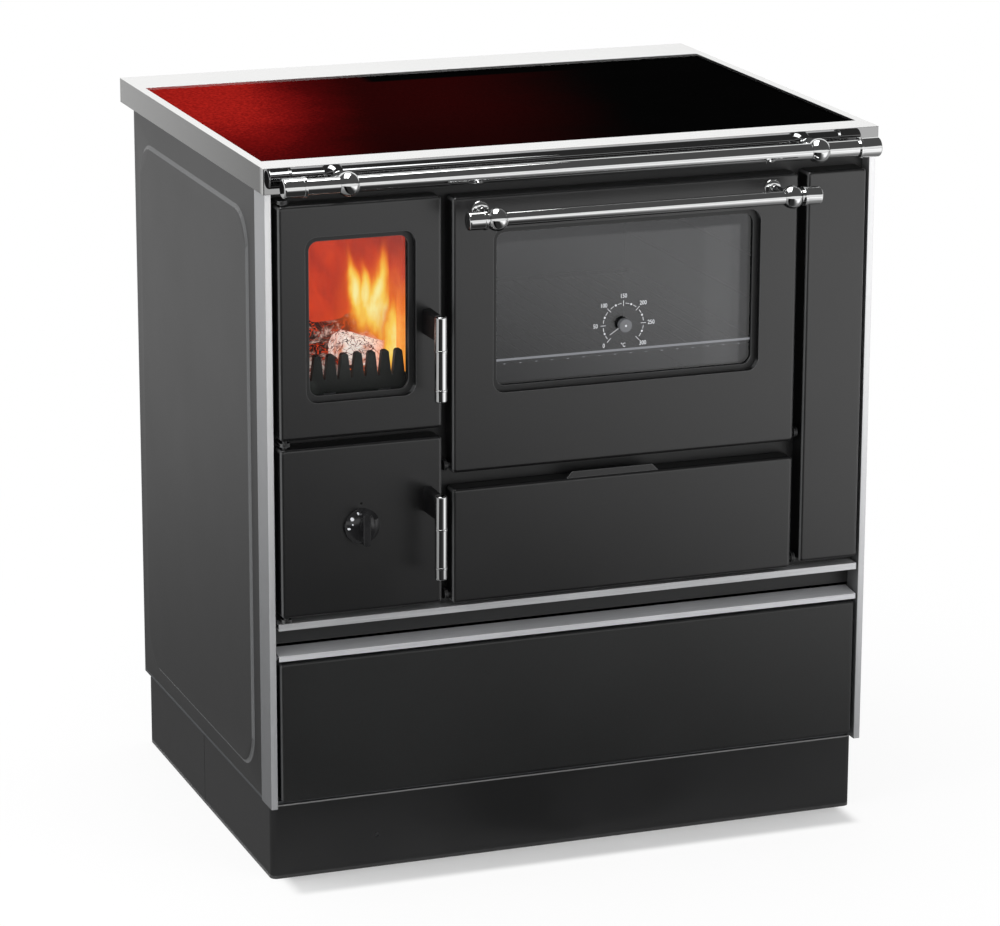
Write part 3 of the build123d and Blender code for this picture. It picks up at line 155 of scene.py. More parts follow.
class Finish:
    """A material under way: its shader and the nodes that feed it."""

    def __init__(self, name, **constants):
        self.material = bpy.data.materials.new(name)
        self.material.use_nodes = True
        self.tree = self.material.node_tree
        self.tree.nodes.clear()
        self.output = self.tree.nodes.new("ShaderNodeOutputMaterial")
        self.shader = self.tree.nodes.new("ShaderNodeBsdfPrincipled")
        self.tree.links.new(self.shader.outputs[0], self.output.inputs[0])
        self.paint(**constants)
        self.place = self.node("ShaderNodeTexCoord", out="Object")

    def node(self, kind, settings=None, inputs=None, out=0):
        """Adds a node: its settings, then its sockets' values or links."""
        made = self.tree.nodes.new(kind)
        for name, value in (settings or {}).items():
            if name == "stops":
                self.set_stops(made.color_ramp.elements, value)
            else:
                setattr(made, name, value)
        for key, value in (inputs or {}).items():
            self.feed(made.inputs[key], value)
        return Signal(self, made.outputs[out])

    def set_stops(self, elements, stops):
        while len(elements) < len(stops):
            elements.new(1.0)
        for element, (position, written) in zip(elements, stops):
            element.position = position
            element.color = colour(written)

    def feed(self, socket, value):
        if isinstance(value, Signal):
            self.tree.links.new(value.socket, socket)
        else:
            socket.default_value = value

    def paint(self, **sockets):
        """Sets or links the shader's own sockets: base_color stands for Base Color."""
        for name, value in sockets.items():
            label = name.replace("_", " ").title().replace("Ior", "IOR")
            self.feed(self.shader.inputs[label], value)

    def show(self, share, first, second):
        """Shows a mix of two shaders in place of the material's own."""
        mixed = self.node("ShaderNodeMixShader", inputs={0: share, 1: first, 2: second})
        self.tree.links.new(mixed.socket, self.output.inputs[0])

    def axes(self, letters):
        """The place along the named axes, in metres: X across, Y to the back, Z up."""
        split = self.node("ShaderNodeSeparateXYZ", inputs={0: self.place}).socket.node
        return [Signal(self, split.outputs[letter]) for letter in letters]

    def away(self):
        """How far the place lies from the stove's upright middle, in metres."""
        across, depth = self.axes("XY")
        return (across ** 2.0 + depth ** 2.0) ** 0.5

    def ray(self, kind):
        """One for rays of this kind, and zero for others."""
        return self.node("ShaderNodeLightPath", out=f"Is {kind} Ray")

    def blend(self, share, first, second):
        inputs = {0: share, 6: first, 7: second}
        return self.node("ShaderNodeMix", {"data_type": "RGBA"}, inputs, 2)

    def stretched(self, scale, vector=None):
        inputs = {"Vector": vector or self.place, "Scale": scale}
        return self.node("ShaderNodeMapping", inputs=inputs)

    def clouds(self, scale, detail=2.0, roughness=0.5, vector=None, out=0):
        inputs = {"Vector": vector or self.place, "Scale": scale}
        inputs |= {"Detail": detail, "Roughness": roughness}
        return self.node("ShaderNodeTexNoise", inputs=inputs, out=out)

    def hairs(self, along, fine=900.0, long=14.0):
        """Hair-fine streaks that run along one axis."""
        squash = [fine] * 3
        squash[along] = long
        return self.clouds(1.0, 3.0, vector=self.stretched(tuple(squash)))

    def cells(self, scale, feature="F1", vector=None):
        inputs = {"Vector": vector or self.place, "Scale": scale}
        return self.node("ShaderNodeTexVoronoi", {"feature": feature}, inputs, "Distance")

    def shades(self, signal, *stops):
        """Colours along the signal, each stop a position and a written colour."""
        return self.node("ShaderNodeValToRGB", {"stops": stops}, {0: signal})

    def relief(self, height, distance, strength=1.0, edge=0.0):
        """Bumps the surface by the height, and rounds sharp edges by the edge's radius."""
        inputs = {"Height": height, "Distance": distance, "Strength": strength}
        if edge:
            inputs["Normal"] = self.rounded(edge)
        self.paint(normal=self.node("ShaderNodeBump", inputs=inputs))

    def rounded(self, radius):
        return self.node("ShaderNodeBevel", {"samples": 6}, {"Radius": radius})

    def true_normal(self):
        return self.node("ShaderNodeNewGeometry", out="True Normal")

    def edges(self, radius):
        """One along sharp edges and zero on flat faces."""
        inputs = {0: self.rounded(radius), 1: self.true_normal()}
        lean = self.node("ShaderNodeVectorMath", {"operation": "DOT_PRODUCT"}, inputs, 1)
        return lean.fall(0.8, 0.985)

    def sideways(self):
        """How far a face looks left or right, from zero to one."""
        return abs(self.node("ShaderNodeSeparateXYZ", inputs={0: self.true_normal()}))


# --------------------------------------------------------------------- stove finishes
# Lengths in the shader sums are metres in the frame's own axes.
ORANGE_PEEL = 420.0  # how fine the ripple of fired enamel is


def enamel(name, shade, sheen, grain, pits):
    """Fired black enamel: a faint orange peel, fine pits and uneven gloss, with painted
    highlights on its sharp edges and sideways slopes.
    """
    fired = Finish(name, ior=1.5, specular_ior_level=0.9)
    tone = fired.clouds(7.0, 3.0)
    speck = fired.clouds(pits, 1.0)
    mottled = fired.blend(tone.ramp(0.3, 0.7), shaded(shade, 0.78), shade)
    speckled = fired.blend(speck.ramp(0.55, 0.8) * grain, mottled, colour("8a8c8e"))
    # Painted highlights: pale lines along sharp edges and on faces that slope sideways.
    painted_slope_highlight = fired.sideways().band(0.5, 0.7, 0.96, 0.995) * 0.5
    painted_edge_highlights = (fired.edges(0.0014) * 0.6 + painted_slope_highlight).clamped()
    fired.paint(
        base_color=fired.blend(painted_edge_highlights, speckled, colour("666768")),
        roughness=sheen + (tone - 0.5) * 0.1 + (speck - 0.5) * 0.08,
    )
    fired.relief(fired.clouds(ORANGE_PEEL) + speck * 0.5, 0.00005, 0.5, edge=0.0006)
    return fired.material


def plinth_enamel():
    """The plinth's black: a painted highlight along its top edge, under a painted shadow at the
    very top, and a dark seam in its sides.
    """
    fired = Finish("plinth_enamel", ior=1.5, specular_ior_level=0.9)
    depth, height = fired.axes("YZ")
    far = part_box("plinth_front")[1]
    tone = fired.clouds(7.0, 3.0)
    drop = far.z - height  # down from the plinth's top
    # A painted shadow over the top of the plinth, in the gap under the drawer, and a painted
    # highlight just below it along the top edge.
    gap = drop.fall(0.0005, 0.0009)
    edge = drop.band(0.0005, 0.0009, 0.002, 0.0026)
    seam = abs(depth - far.y).ramp(0.0003, 0.0007, 0.9, 0.0)
    shade = fired.blend(tone.ramp(0.3, 0.7), colour("101011"), colour("171718"))
    shade = fired.blend(gap, fired.blend(seam, shade, BLACK), BLACK)
    fired.paint(
        base_color=fired.blend(edge, shade, colour("7b7b7b")),
        roughness=0.38 + (tone - 0.5) * 0.1,
    )
    fired.relief(fired.clouds(ORANGE_PEEL), 0.00005, 0.4, edge=0.001)
    return fired.material


def sheet_metal(name, shade, sheen, along, streak=0.12, metal=1.0, painted_rim_highlight=None):
    """Rolled or brushed metal, its streaks along one axis; a rim colour, where given, is a
    painted highlight along its sharp edges.
    """
    sheet = Finish(name, metallic=metal)
    hair = sheet.hairs(along)
    tone = sheet.clouds(9.0)
    brushed = sheet.blend((hair * 0.6 + tone * 0.4).ramp(0.3, 0.7), shaded(shade, 0.8), shade)
    # A painted highlight along the sharp edges.
    if painted_rim_highlight:
        brushed = sheet.blend(sheet.edges(0.0008) * 0.8, brushed, painted_rim_highlight)
    sheet.paint(base_color=brushed, roughness=sheen + (hair - 0.5) * streak)
    sheet.relief(hair, 0.00004, 0.35, edge=0.0004)
    return sheet.material


def trim_metal():
    """The corner trims: aluminium, with painted light that pales them toward the top, painted
    shade on their sides, and painted dark lines of shade on their rolled corners.
    """
    trim = Finish("trim_aluminium", metallic=0.6)
    [height] = trim.axes("Z")
    hair = trim.hairs(UP)
    # Painted light and shade: paler toward the top, and darker on the sides than on the face.
    rise = height.ramp(0.05, 0.85) + (hair - 0.5) * 0.25
    face = trim.blend(rise, colour("c0c1c3"), colour("f6f6f7"))
    side = trim.blend(rise, colour("848587"), colour("b2b3b5"))
    shade = trim.blend(trim.sideways().ramp(0.5, 0.8), face, side)
    # Painted shade: dark lines along the rolled corners.
    trim.paint(
        base_color=trim.blend(trim.edges(0.0009) * 0.7, shade, colour("505153")),
        roughness=0.34 + (hair - 0.5) * 0.1,
    )
    trim.relief(hair, 0.00004, 0.3, edge=0.0004)
    return trim.material


def frame_steel():
    """The hob frame: mirror-polished in front, finely brushed on its top and sides, with painted
    shade on its sides that is darkest toward the front, and a painted highlight by their front
    corners.
    """
    steel = Finish("hob_frame_steel", metallic=1.0)
    [depth] = steel.axes("Y")
    hair = steel.hairs(BACK, 700.0, 12.0)
    cloud = steel.clouds(5.0)
    front = depth.fall(FACE - 0.0029, FACE - 0.0021)
    # Painted light and shade: the sides darker than the top and darkest toward the front, with a
    # painted highlight by the front corner.
    corner = depth.fall(FACE - 0.002, FACE + 0.012)
    top = steel.blend(cloud, colour("e4e4e3"), colour("efefee"))
    side = steel.blend((depth - FACE) / 0.58, colour("8b8b8a"), colour("cbcbca"))
    side = steel.blend(corner, side, colour("f2f2f1"))
    shade = steel.blend(steel.sideways().ramp(0.5, 0.8), top, side)
    brushed, polished = 0.26 + (hair - 0.5) * 0.05, cloud * 0.02
    steel.paint(
        base_color=steel.blend(front, shade, colour("9a9a9a")),
        roughness=brushed * (1.0 - front) + front * polished,
    )
    steel.relief(hair * (1.0 - front), 0.00003, 0.06, edge=0.0007)
    return steel.material


def chrome():
    """Bright chrome with the faintest cloudiness."""
    bright = Finish("chrome", metallic=1.0)
    haze = bright.clouds(60.0, 3.0)
    bright.paint(
        base_color=bright.blend(haze, colour("dcdddd"), colour("e6e6e6")),
        roughness=0.004 + haze * 0.02,
    )
    bright.relief(haze, 0.00002, 0.2, edge=0.0005)
    return bright.material


def cast_black(name, shade, sheen, lumps):
    """Rough-cast iron under stove black."""
    cast = Finish(name, ior=1.5, specular_ior_level=0.25)
    grit = cast.clouds(lumps, 4.0, 0.62)
    worn = cast.clouds(35.0).ramp(0.5, 0.75)
    lighter = (*(min(part * 2.4 + 0.01, 1.0) for part in shade[:3]), 1.0)
    cast.paint(
        base_color=cast.blend(worn * 0.6, shade, lighter),
        roughness=sheen + (grit - 0.5) * 0.25,
    )
    cast.relief(grit, 0.0006, 0.5, edge=0.0008)
    return cast.material


def firebrick():
    """Vermiculite lining: sandy board, scorched, with painted fire light glowing on it near the
    window.
    """
    brick = Finish("firebrick", emission_strength=1.0, ior=1.4)
    depth, height = brick.axes("YZ")
    grit = brick.clouds(160.0, 4.0, 0.6)
    patch = brick.clouds(14.0, 3.0)
    soot = height.ramp(0.66, 0.77) * 0.7 + patch.ramp(0.45, 0.7) * 0.3
    brick.paint(
        base_color=brick.blend(soot.clamped(), colour("77604b"), colour("241b17")),
        roughness=0.85 + (grit - 0.5) * 0.2,
    )
    # Painted fire light, glowing from the lining itself: a blaze behind the comb, a sheet of fire
    # by the window, and painted shade above.
    flicker = brick.clouds(24.0, 4.0, 0.65, brick.stretched((1.0, 0.5, 1.0)))
    back = depth - FACE
    slant = height + back * 0.295  # the light's upper edge rises towards the window
    painted_blaze = back.band(0.02, 0.1, 0.14, 0.24) * slant.band(0.63, 0.68, 0.69, 0.75)
    sheet = back.fall(0.05, 0.075) * slant.fall(0.66, 0.72)
    painted_dusk_shade = slant.ramp(0.73, 0.79) * back.ramp(0.12, 0.3, 1.0, 0.4)
    heat = 0.45 + (flicker - 0.5) * 0.5 + painted_blaze * 0.26 + sheet * 0.36 - painted_dusk_shade * 0.12
    brick.paint(emission_color=brick.shades(
        heat.clamped(),
        (0.0, "3a0d16"), (0.28, "8c241f"), (0.5, "c43a1f"), (0.75, "ee7a26"), (1.0, "ffc552"),
    ))
    brick.relief(grit + brick.cells(40.0) * 0.4, 0.0008, 0.5)
    return brick.material


def hob_ceramic():
    """Black glass ceramic; the plate over the fire glows red through it, in fine grains."""
    plate = Finish(
        "hob_ceramic",
        roughness=0.06, specular_ior_level=0.0, coat_roughness=0.04, emission_strength=1.0,
    )
    across, depth = plate.axes("XY")
    back = depth - FACE
    grain = plate.clouds(260.0, 3.0, 0.75)
    cloud = plate.clouds(9.0, 3.0, 0.6)
    reach = across + (0.4 - back) * 0.2 + (cloud - 0.5) * 0.06
    near = reach.fall(-0.29, -0.12)
    cut_off = across.ramp(-0.1, -0.08) * back.ramp(0.475, 0.485)  # the glow's square corner
    tail = reach.fall(-0.04, 0.2) * (1.0 - cut_off)
    dimmer_in_front = back.ramp(0.0, 0.36, 0.55, 1.0)
    grained = 0.8 + grain.ramp(0.35, 0.7) * 0.26
    strength = (near * 0.78 + tail * 0.22) * dimmer_in_front * grained
    glow = plate.shades(
        strength.clamped(),
        (0.0, "000000"), (0.22, "270101"), (0.5, "4b0405"), (0.75, "780e0d"), (1.0, "ad2019"),
    )
    plate.paint(
        base_color=plate.blend(grain, BLACK, colour("020202")),
        emission_color=glow,
        coat_weight=0.001 + cloud * 0.002,
    )
    plate.relief(grain, 0.00001, 0.15, edge=0.0006)
    return plate.material


def oven_enamel():
    """The muffle: dark enamel, with painted light that makes its back wall paler."""
    fired = Finish("oven_enamel", ior=1.5)
    [depth] = fired.axes("Y")
    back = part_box("oven_muffle")[1].y
    tone = fired.clouds(9.0, 3.0)
    # Painted light on the back wall.
    painted_back_light = depth.ramp(back - 0.008, back - 0.005)
    wall = fired.blend(painted_back_light, colour("161718"), colour("3a3b3d"))
    fired.paint(
        base_color=fired.blend(tone * 0.3, wall, colour("0c0d0e")),
        roughness=0.45 + (tone - 0.5) * 0.2,
    )
    fired.relief(tone, 0.00004, 0.3, edge=0.001)
    return fired.material


def rack_wire():
    """Bright wire, with painted highlights glowing on its front bar and wire ends."""
    wire = Finish("rack_wire", metallic=0.9, emission_strength=1.0)
    depth, height = wire.axes("YZ")
    near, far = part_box("oven_rack")
    haze = wire.clouds(60.0, 3.0)
    back = depth - near.y  # back from the rack's front
    drop = far.z - height  # down from its top
    # Painted highlights: glowing glints on the front bar and the wire ends.
    line = drop.fall(0.0014, 0.0022) * back.fall(0.003, 0.004)
    ends = drop.ramp(0.0049, 0.0052) * back.fall(0.006, 0.009)
    painted_glints = (line * 0.7 + ends * 0.9).clamped()
    wire.paint(
        base_color=wire.blend(haze, colour("2a2a2b"), colour("3c3d3e")),
        roughness=0.3 + haze * 0.1,
        emission_color=wire.blend(painted_glints, BLACK, colour("d6d7d9")),
    )
    wire.relief(haze, 0.00002, 0.2, edge=0.0004)
    return wire.material


def clear_pane(name, smoke, gloss, painted_sheen=0.0):
    """Heat-proof glass: see-through, glossier as the angle grows, with a faint haze.

    Its last argument paints a reflection: a pale sheen on the oven's window, which stops short of
    its top and right.
    """
    pane = Finish(name, roughness=0.02)
    haze = pane.clouds(18.0, 3.0)
    if painted_sheen:
        across, height = pane.axes("XZ")
        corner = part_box("oven_glass")[1]
        from_right, from_top = corner.x - across, corner.z - height
        # A painted reflection: a glossier patch, with a brighter streak, on the oven's window.
        sheen = from_right.ramp(0.0175, 0.0215) * from_top.ramp(0.016, 0.02)
        streak = from_right.band(0.0285, 0.0325, 0.0625, 0.0665)
        paler = 0.4 + from_right.fall(0.0245, 0.3245) * 0.5 + streak * 0.25
        haze += sheen * paler * painted_sheen
    through = pane.node("ShaderNodeBsdfTransparent", inputs={0: smoke})
    mirror = pane.node("ShaderNodeBsdfGlossy", inputs={"Color": WHITE, "Roughness": 0.02})
    fresnel = pane.node("ShaderNodeFresnel", inputs={"IOR": 1.5})
    pane.show((fresnel * (gloss + haze * 0.1)).clamped(), through, mirror)
    return pane.material


def glass_rope(name, pale, dark):
    """Braided glass-fibre rope: slanting strands, darkened by ash."""
    rope = Finish(name, roughness=0.9, sheen_weight=0.3)
    braid = rope.node(
        "ShaderNodeTexWave", {"bands_direction": "DIAGONAL"},
        {"Vector": rope.place, "Scale": 130.0, "Distortion": 2.0, "Detail": 1.0},
    )
    soot = rope.clouds(30.0, 3.0)
    dusty = rope.blend(soot.ramp(0.4, 0.75), pale, dark)
    rope.paint(base_color=rope.blend(braid * 0.4, dusty, dark))
    rope.relief(braid, 0.0006, 0.6)
    return rope.material


def moulding(name, dark, pale):
    """Glossy moulded plastic with fine mould haze."""
    moulded = Finish(name, ior=1.5)
    haze = moulded.clouds(90.0, 3.0)
    moulded.paint(base_color=moulded.blend(haze, dark, pale), roughness=0.12 + haze * 0.1)
    moulded.relief(haze, 0.00003, 0.2, edge=0.0006)
    return moulded.material


def printed(name, shade):
    """Fired ink on glass or enamel: thin, slightly uneven in cover."""
    ink = Finish(name, ior=1.45)
    cover = ink.clouds(900.0)
    ink.paint(
        base_color=ink.blend(cover, shaded(shade, 0.8), shade), roughness=0.5 + cover * 0.15
    )
    return ink.material


stove_finishes = {
    enamel("panel_enamel", colour("0a0a0b"), 0.32, 0.03, 1100.0): (
        "firebox_door_panel ash_door_panel oven_door_panel flap_panel right_cover "
        "side_panel_left side_panel_right"
    ),
    enamel("drawer_enamel", colour("0d0e0e"), 0.42, 0.12, 1500.0): "drawer_front",
    plinth_enamel(): "plinth_front plinth_rear",
    oven_enamel(): "oven_muffle",
    enamel("liner_black", colour("08090a"), 0.5, 0.02, 800.0): (
        "firebox_door_liner ash_door_liner oven_door_liner flap_liner front_frame "
        "hinge_pins latch_keepers"
    ),
    sheet_metal("galvanised_sheet", colour("8d9093"), 0.42, UP, streak=0.2): (
        "base_plate back_panel top_plate mid_shelf flue_casing drawer_box drawer_runners "
        "ash_pan air_disc firebox_glass_clips oven_glass_clips firebox_shell flue_collar"
    ),
    trim_metal(): "corner_trim_left corner_trim_right",
    sheet_metal("strip_aluminium", colour("d6d7d9"), 0.34, ACROSS, metal=0.6): "upper_strip",
    sheet_metal("pull_aluminium", colour("d4d5d8"), 0.4, ACROSS, metal=0.4, painted_rim_highlight=WHITE): (
        "drawer_pull"
    ),
    rack_wire(): "oven_rack",
    printed("pointer_paint", colour("b9babd")): "thermometer_needle",
    frame_steel(): "hob_frame",
    chrome(): (
        "hob_rail hob_rail_posts hob_rail_caps oven_rail oven_rail_posts oven_rail_caps "
        "fire_handle_grip ash_handle_grip"
    ),
    cast_black("lever_casting", colour("0d0d0e"), 0.5, 700.0): "fire_handle_hub ash_handle_hub",
    cast_black("comb_casting", colour("232624"), 0.5, 450.0): "log_comb fire_grate",
    firebrick(): "firebrick_lining",
    hob_ceramic(): "hob_glass",
    clear_pane("fire_window_glass", colour("fcfcfc"), 0.2): "firebox_glass",
    clear_pane("oven_window_glass", colour("d2d3d6"), 1.0, painted_sheen=6.0): "oven_glass",
    glass_rope("glass_rope", colour("8f8b83"), colour("3c3936")): (
        "firebox_door_seal ash_door_seal oven_door_seal"
    ),
    glass_rope("black_rope", colour("0b0b0b"), colour("040404")): "hob_seal",
    moulding("knob_moulding", colour("131314"), colour("242425")): "air_knob",
    moulding("hub_moulding", colour("606164"), colour("6e6f72")): "thermometer_hub",
}


def dress(part, material):
    """Gives a CAD part its finish and smooth shading, without touching its shape."""
    part.data.polygons.foreach_set("use_smooth", [True] * len(part.data.polygons))
    part.data.materials.clear()
    part.data.materials.append(material)
    weld = part.modifiers.new("joined_faces", "WELD")
    weld.merge_threshold = 0.00001
    split = part.modifiers.new("crisp_edges", "EDGE_SPLIT")
    split.split_angle = CRISP
    flat = part.modifiers.new("flat_faces", "WEIGHTED_NORMAL")
    flat.keep_sharp = True


for finish, names in stove_finishes.items():
    for part_name in names.split():
        dress(frame["nodes"][part_name], finish)

# The lining, with its painted fire light, is seen through the window, and isn't mirrored in
# chrome and enamel.
frame["nodes"]["firebrick_lining"].visible_glossy = False


# -------------------------------------------------------------------------- new pieces
def finished(name, work, body, material):
    """Closes a piece's mesh, gives it its finish and fixes it to its body."""
    bmesh.ops.remove_doubles(work, verts=work.verts, dist=0.000002)
    bmesh.ops.recalc_face_normals(work, faces=work.faces)
    shape = bpy.data.meshes.new(name)
    work.to_mesh(shape)
    work.free()
    shape.shade_smooth()
    shape.set_sharp_from_angle(angle=CRISP)
    shape.materials.append(material)
    piece = bpy.data.objects.new(name, shape)
    bpy.context.scene.collection.objects.link(piece)
    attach(piece, body)
    return piece


def new_verts(made):
    """The vertices that an extrusion made."""
    return [v for v in made["geom"] if isinstance(v, bmesh.types.BMVert)]


def new_faces(made):
    """The faces that an extrusion made at its far end."""
    return [f for f in made["geom"] if isinstance(f, bmesh.types.BMFace)]


def facing_front(place, turn=0.0):
    """Stands work from the flat plane upright, its face to the front."""
    upright = Matrix.Rotation(math.pi / 2, 4, "X")
    return Matrix.Translation(place) @ Matrix.Rotation(turn, 4, "Y") @ upright


PAINT_LIFT = 0.00003  # how far the scale's paint starts off its glass
PAINT_COAT = 0.00006  # how thick flat paint is
PAINT_LINE = 0.00065  # how wide the thermometer's lines are


def paint_bar(work, place, length, width, turn):
    """A flat painted bar, lengthwise along the turned upright."""
    made = bmesh.ops.create_grid(work, x_segments=1, y_segments=1, size=0.5)
    bmesh.ops.scale(work, vec=(width, length, 1), verts=made["verts"])
    bmesh.ops.transform(work, matrix=facing_front(place, turn), verts=made["verts"])


def paint_dot(work, place, radius):
    made = bmesh.ops.create_circle(work, cap_ends=True, radius=radius, segments=20)
    bmesh.ops.transform(work, matrix=facing_front(place), verts=made["verts"])


def paint_bead(work, place, half_width, half_length, turn=0.0, lean=0.0):
    """A low raised bead of paint, on a face that may lean outward."""
    made = bmesh.ops.create_icosphere(work, subdivisions=2, radius=1.0)
    bmesh.ops.scale(work, vec=(half_width, half_length, 0.0005), verts=made["verts"])
    leaning = facing_front(place, turn) @ Matrix.Rotation(-lean, 4, "X")
    bmesh.ops.transform(work, matrix=leaning, verts=made["verts"])


def paint_arc(work, centre, radius, width, start, sweep):
    """A flat painted arc, spun clockwise from a short edge."""
    ends = [
        work.verts.new(centre + Vector((math.cos(start) * r, 0, math.sin(start) * r)))
        for r in (radius - width / 2, radius + width / 2)
    ]
    edge = work.edges.new(ends)
    bmesh.ops.spin(
        work, geom=ends + [edge], cent=centre, axis=(0, 1, 0), angle=sweep, steps=6,
        dvec=(0, 0, 0), use_duplicate=False,
    )


def paint_words(work, words, place, size):
    """Figures, centred on their place."""
    letters = bpy.data.curves.new("letters", "FONT")
    letters.body = words
    letters.size = size
    letters.align_x = "CENTER"
    letters.align_y = "CENTER"
    letters.offset = size * 0.012
    letters.resolution_u = 3
    holder = bpy.data.objects.new("letters", letters)
    flat = bpy.data.meshes.new_from_object(holder)
    narrow = Matrix.Diagonal((0.82, 1, 1, 1))
    flat.transform(facing_front(place) @ narrow)
    work.from_mesh(flat)
    bpy.data.objects.remove(holder)
    bpy.data.curves.remove(letters)


def thicken(work, amount):
    """Gives flat paint its thin coat, towards the front."""
    for face in work.faces:
        if face.normal.y > 0:
            face.normal_flip()
    made = bmesh.ops.extrude_face_region(work, geom=list(work.faces))
    bmesh.ops.translate(work, vec=(0, -amount, 0), verts=new_verts(made))


DIAL = on_axis("thermometer_needle_turn", front("oven_glass") - PAINT_LIFT)
DIAL_R = 0.0252
DIAL_HUB = on_axis("thermometer_needle_turn", front("thermometer_hub"))
DIAL_STEP = math.radians(45)  # from one number to the next, 50 degrees Celsius on


def dial_print():
    """The thermometer's scale: seven ticks with numbers, and a dot between two arcs; and a white
    bead on the hub as a painted highlight.
    """
    work = bmesh.new()
    for index in range(7):
        angle = math.radians(225) - index * DIAL_STEP
        out = Vector((math.cos(angle), 0, math.sin(angle)))
        paint_bar(work, DIAL + out * DIAL_R, 0.0066, PAINT_LINE, math.pi / 2 - angle)
        aside = 1.36 if index in (0, 3) else 1.38
        word_place = DIAL + Vector((out.x * aside, 0, out.z * 1.34)) * DIAL_R
        paint_words(work, str(index * 50), word_place, 0.0072)
        if index == 6:
            break
        halfway = Matrix.Rotation(DIAL_STEP / 2, 3, "Y") @ out
        paint_dot(work, DIAL + halfway * DIAL_R, 0.00125)
        for past_tick in (6.0, 28.5):
            start = angle - math.radians(past_tick)
            paint_arc(work, DIAL, DIAL_R, PAINT_LINE, start, math.radians(10.5))
    paint_words(work, "°C", DIAL + Vector((0, 0, -DIAL_R * 0.98)), 0.0066)
    bmesh.ops.recalc_face_normals(work, faces=work.faces)
    thicken(work, PAINT_COAT)
    # A white bead at the hub's middle: a painted highlight on the needle's spindle.
    paint_bead(work, DIAL_HUB, 0.0014, 0.0014)
    return work


ink = printed("printed_ink", colour("dfe1e6"))
finished("thermometer_scale", dial_print(), "oven_door", ink)

DOOR_FRONT = front("ash_door_panel")
KNOB_FOOT = DOOR_FRONT - 0.5 * MM  # the air knob's skirt stands clear of the door
# The skirt's profile is an arc: its radius, and its middle out from the axis and behind the foot.
SKIRT_ARC, ARC_OUT, ARC_BEHIND = 24.32, 4.53, 14.89
KNOB_MARKS = (  # degrees from the top, radius, half width and half length in millimetres
    (8, 17.6, 1.2, 2.0),
    (-20, 17.4, 1.2, 2.0),
    (-52, 16.8, 2.1, 2.4),
    (-72, 13.8, 1.1, 1.1),
    (-93, 17.2, 1.4, 2.0),
)


def knob_print():
    """White marks round the upper left of the knob's skirt."""
    work = bmesh.new()
    for degrees, radius, half_width, half_length in KNOB_MARKS:
        turn = math.radians(degrees)
        lean = math.asin((radius - ARC_OUT) / SKIRT_ARC)
        behind_foot = (ARC_BEHIND - SKIRT_ARC * math.cos(lean)) * MM
        out = Vector((math.sin(turn), 0, math.cos(turn))) * radius * MM
        place = on_axis("air_knob_turn", KNOB_FOOT + behind_foot) + out
        paint_bead(work, place, half_width * MM, half_length * MM, turn, lean)
    return work


finished("air_scale", knob_print(), "air_control", ink)


def air_pointer():
    """The dark dot on the door that the knob's marks are set against."""
    work = bmesh.new()
    above_knob = Vector((0, 0, 0.0265))
    paint_dot(work, on_axis("air_knob_turn", DOOR_FRONT) + above_knob, 0.0014)
    thicken(work, PAINT_COAT)
    return work


pointer_black = moulding("pointer_black", colour("020202"), colour("060606"))
finished("air_pointer", air_pointer(), "ash_door", pointer_black)


def screw(work, place, radius):
    """A small raised screw head with a sunk middle, facing the back."""
    others = set(work.verts)
    made = bmesh.ops.create_circle(work, cap_ends=True, radius=radius, segments=20)
    raised = bmesh.ops.extrude_face_region(work, geom=list(made["verts"][0].link_faces))
    bmesh.ops.translate(work, vec=(0, 0, radius * 0.25), verts=new_verts(raised))
    for rise, inward in ((0.22, 0.3), (-0.3, 0.32)):
        bmesh.ops.inset_region(
            work, faces=new_faces(raised), thickness=radius * inward, depth=radius * rise
        )
    facing_back = Matrix.Translation(place) @ Matrix.Rotation(-math.pi / 2, 4, "X")
    own = [v for v in work.verts if v not in others]
    bmesh.ops.transform(work, matrix=facing_back, verts=own)


def panel_screws():
    """The back panel's screws, in three columns on its outer face."""
    work = bmesh.new()
    outer_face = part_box("back_panel")[1].y
    for across in (-0.36, 0, 0.36):
        for height in (0.11, 0.33, 0.56, 0.805):
            screw(work, Vector((across, outer_face, height)), 0.0042)
    return work


screw_steel = sheet_metal("screw_zinc", colour("b9bbbd"), 0.3, ACROSS, streak=0.08)
finished("back_screws", panel_screws(), "body", screw_steel)


# -------------------------------------------------------------------------------- fire
LOG_RINGS = 22
LOG_TAPER = 0.85  # the far end's radius against the near end's
LOG_BEND = 0.12  # how far a log sways, in radii
LOG_RIDGES = 0.16  # how rough its bark is, in radii


def log(work, start, end, radius, seed):
    """A split log: a ringed bar, bent, tapered and rough, with cut ends."""
    along = end - start
    made = bmesh.ops.create_circle(work, cap_ends=True, radius=radius, segments=26)
    sections = [made["verts"]]
    cap = list(made["verts"][0].link_faces)
    for _ in range(LOG_RINGS):
        extruded = bmesh.ops.extrude_face_region(work, geom=cap)
        cap = new_faces(extruded)
        sections.append(new_verts(extruded))
        step = (0, 0, along.length / LOG_RINGS)
        bmesh.ops.translate(work, vec=step, verts=sections[-1])
    for index, section in enumerate(sections):
        share = index / LOG_RINGS
        size = 1 - (1 - LOG_TAPER) * share
        wear = 0.9 if index in (0, LOG_RINGS) else 1.0
        sway = Vector((math.sin(share * 3 + seed), math.cos(share * 4 + seed), 0))
        for vert in section:
            flat = Vector((vert.co.x, vert.co.y, 0)) * size
            probe = Vector((flat.x * 90, flat.y * 90, vert.co.z * 26 + seed * 7))
            ridge = (noise.noise(probe) + noise.noise(probe * 3.1) * 0.45) * LOG_RIDGES
            flat *= (1 + ridge) * wear
            vert.co = Vector((flat.x, flat.y, vert.co.z)) + sway * radius * LOG_BEND
    turn = Vector((0, 0, 1)).rotation_difference(along).to_matrix().to_4x4()
    own = [v for section in sections for v in section]
    bmesh.ops.transform(work, matrix=Matrix.Translation(start) @ turn, verts=own)


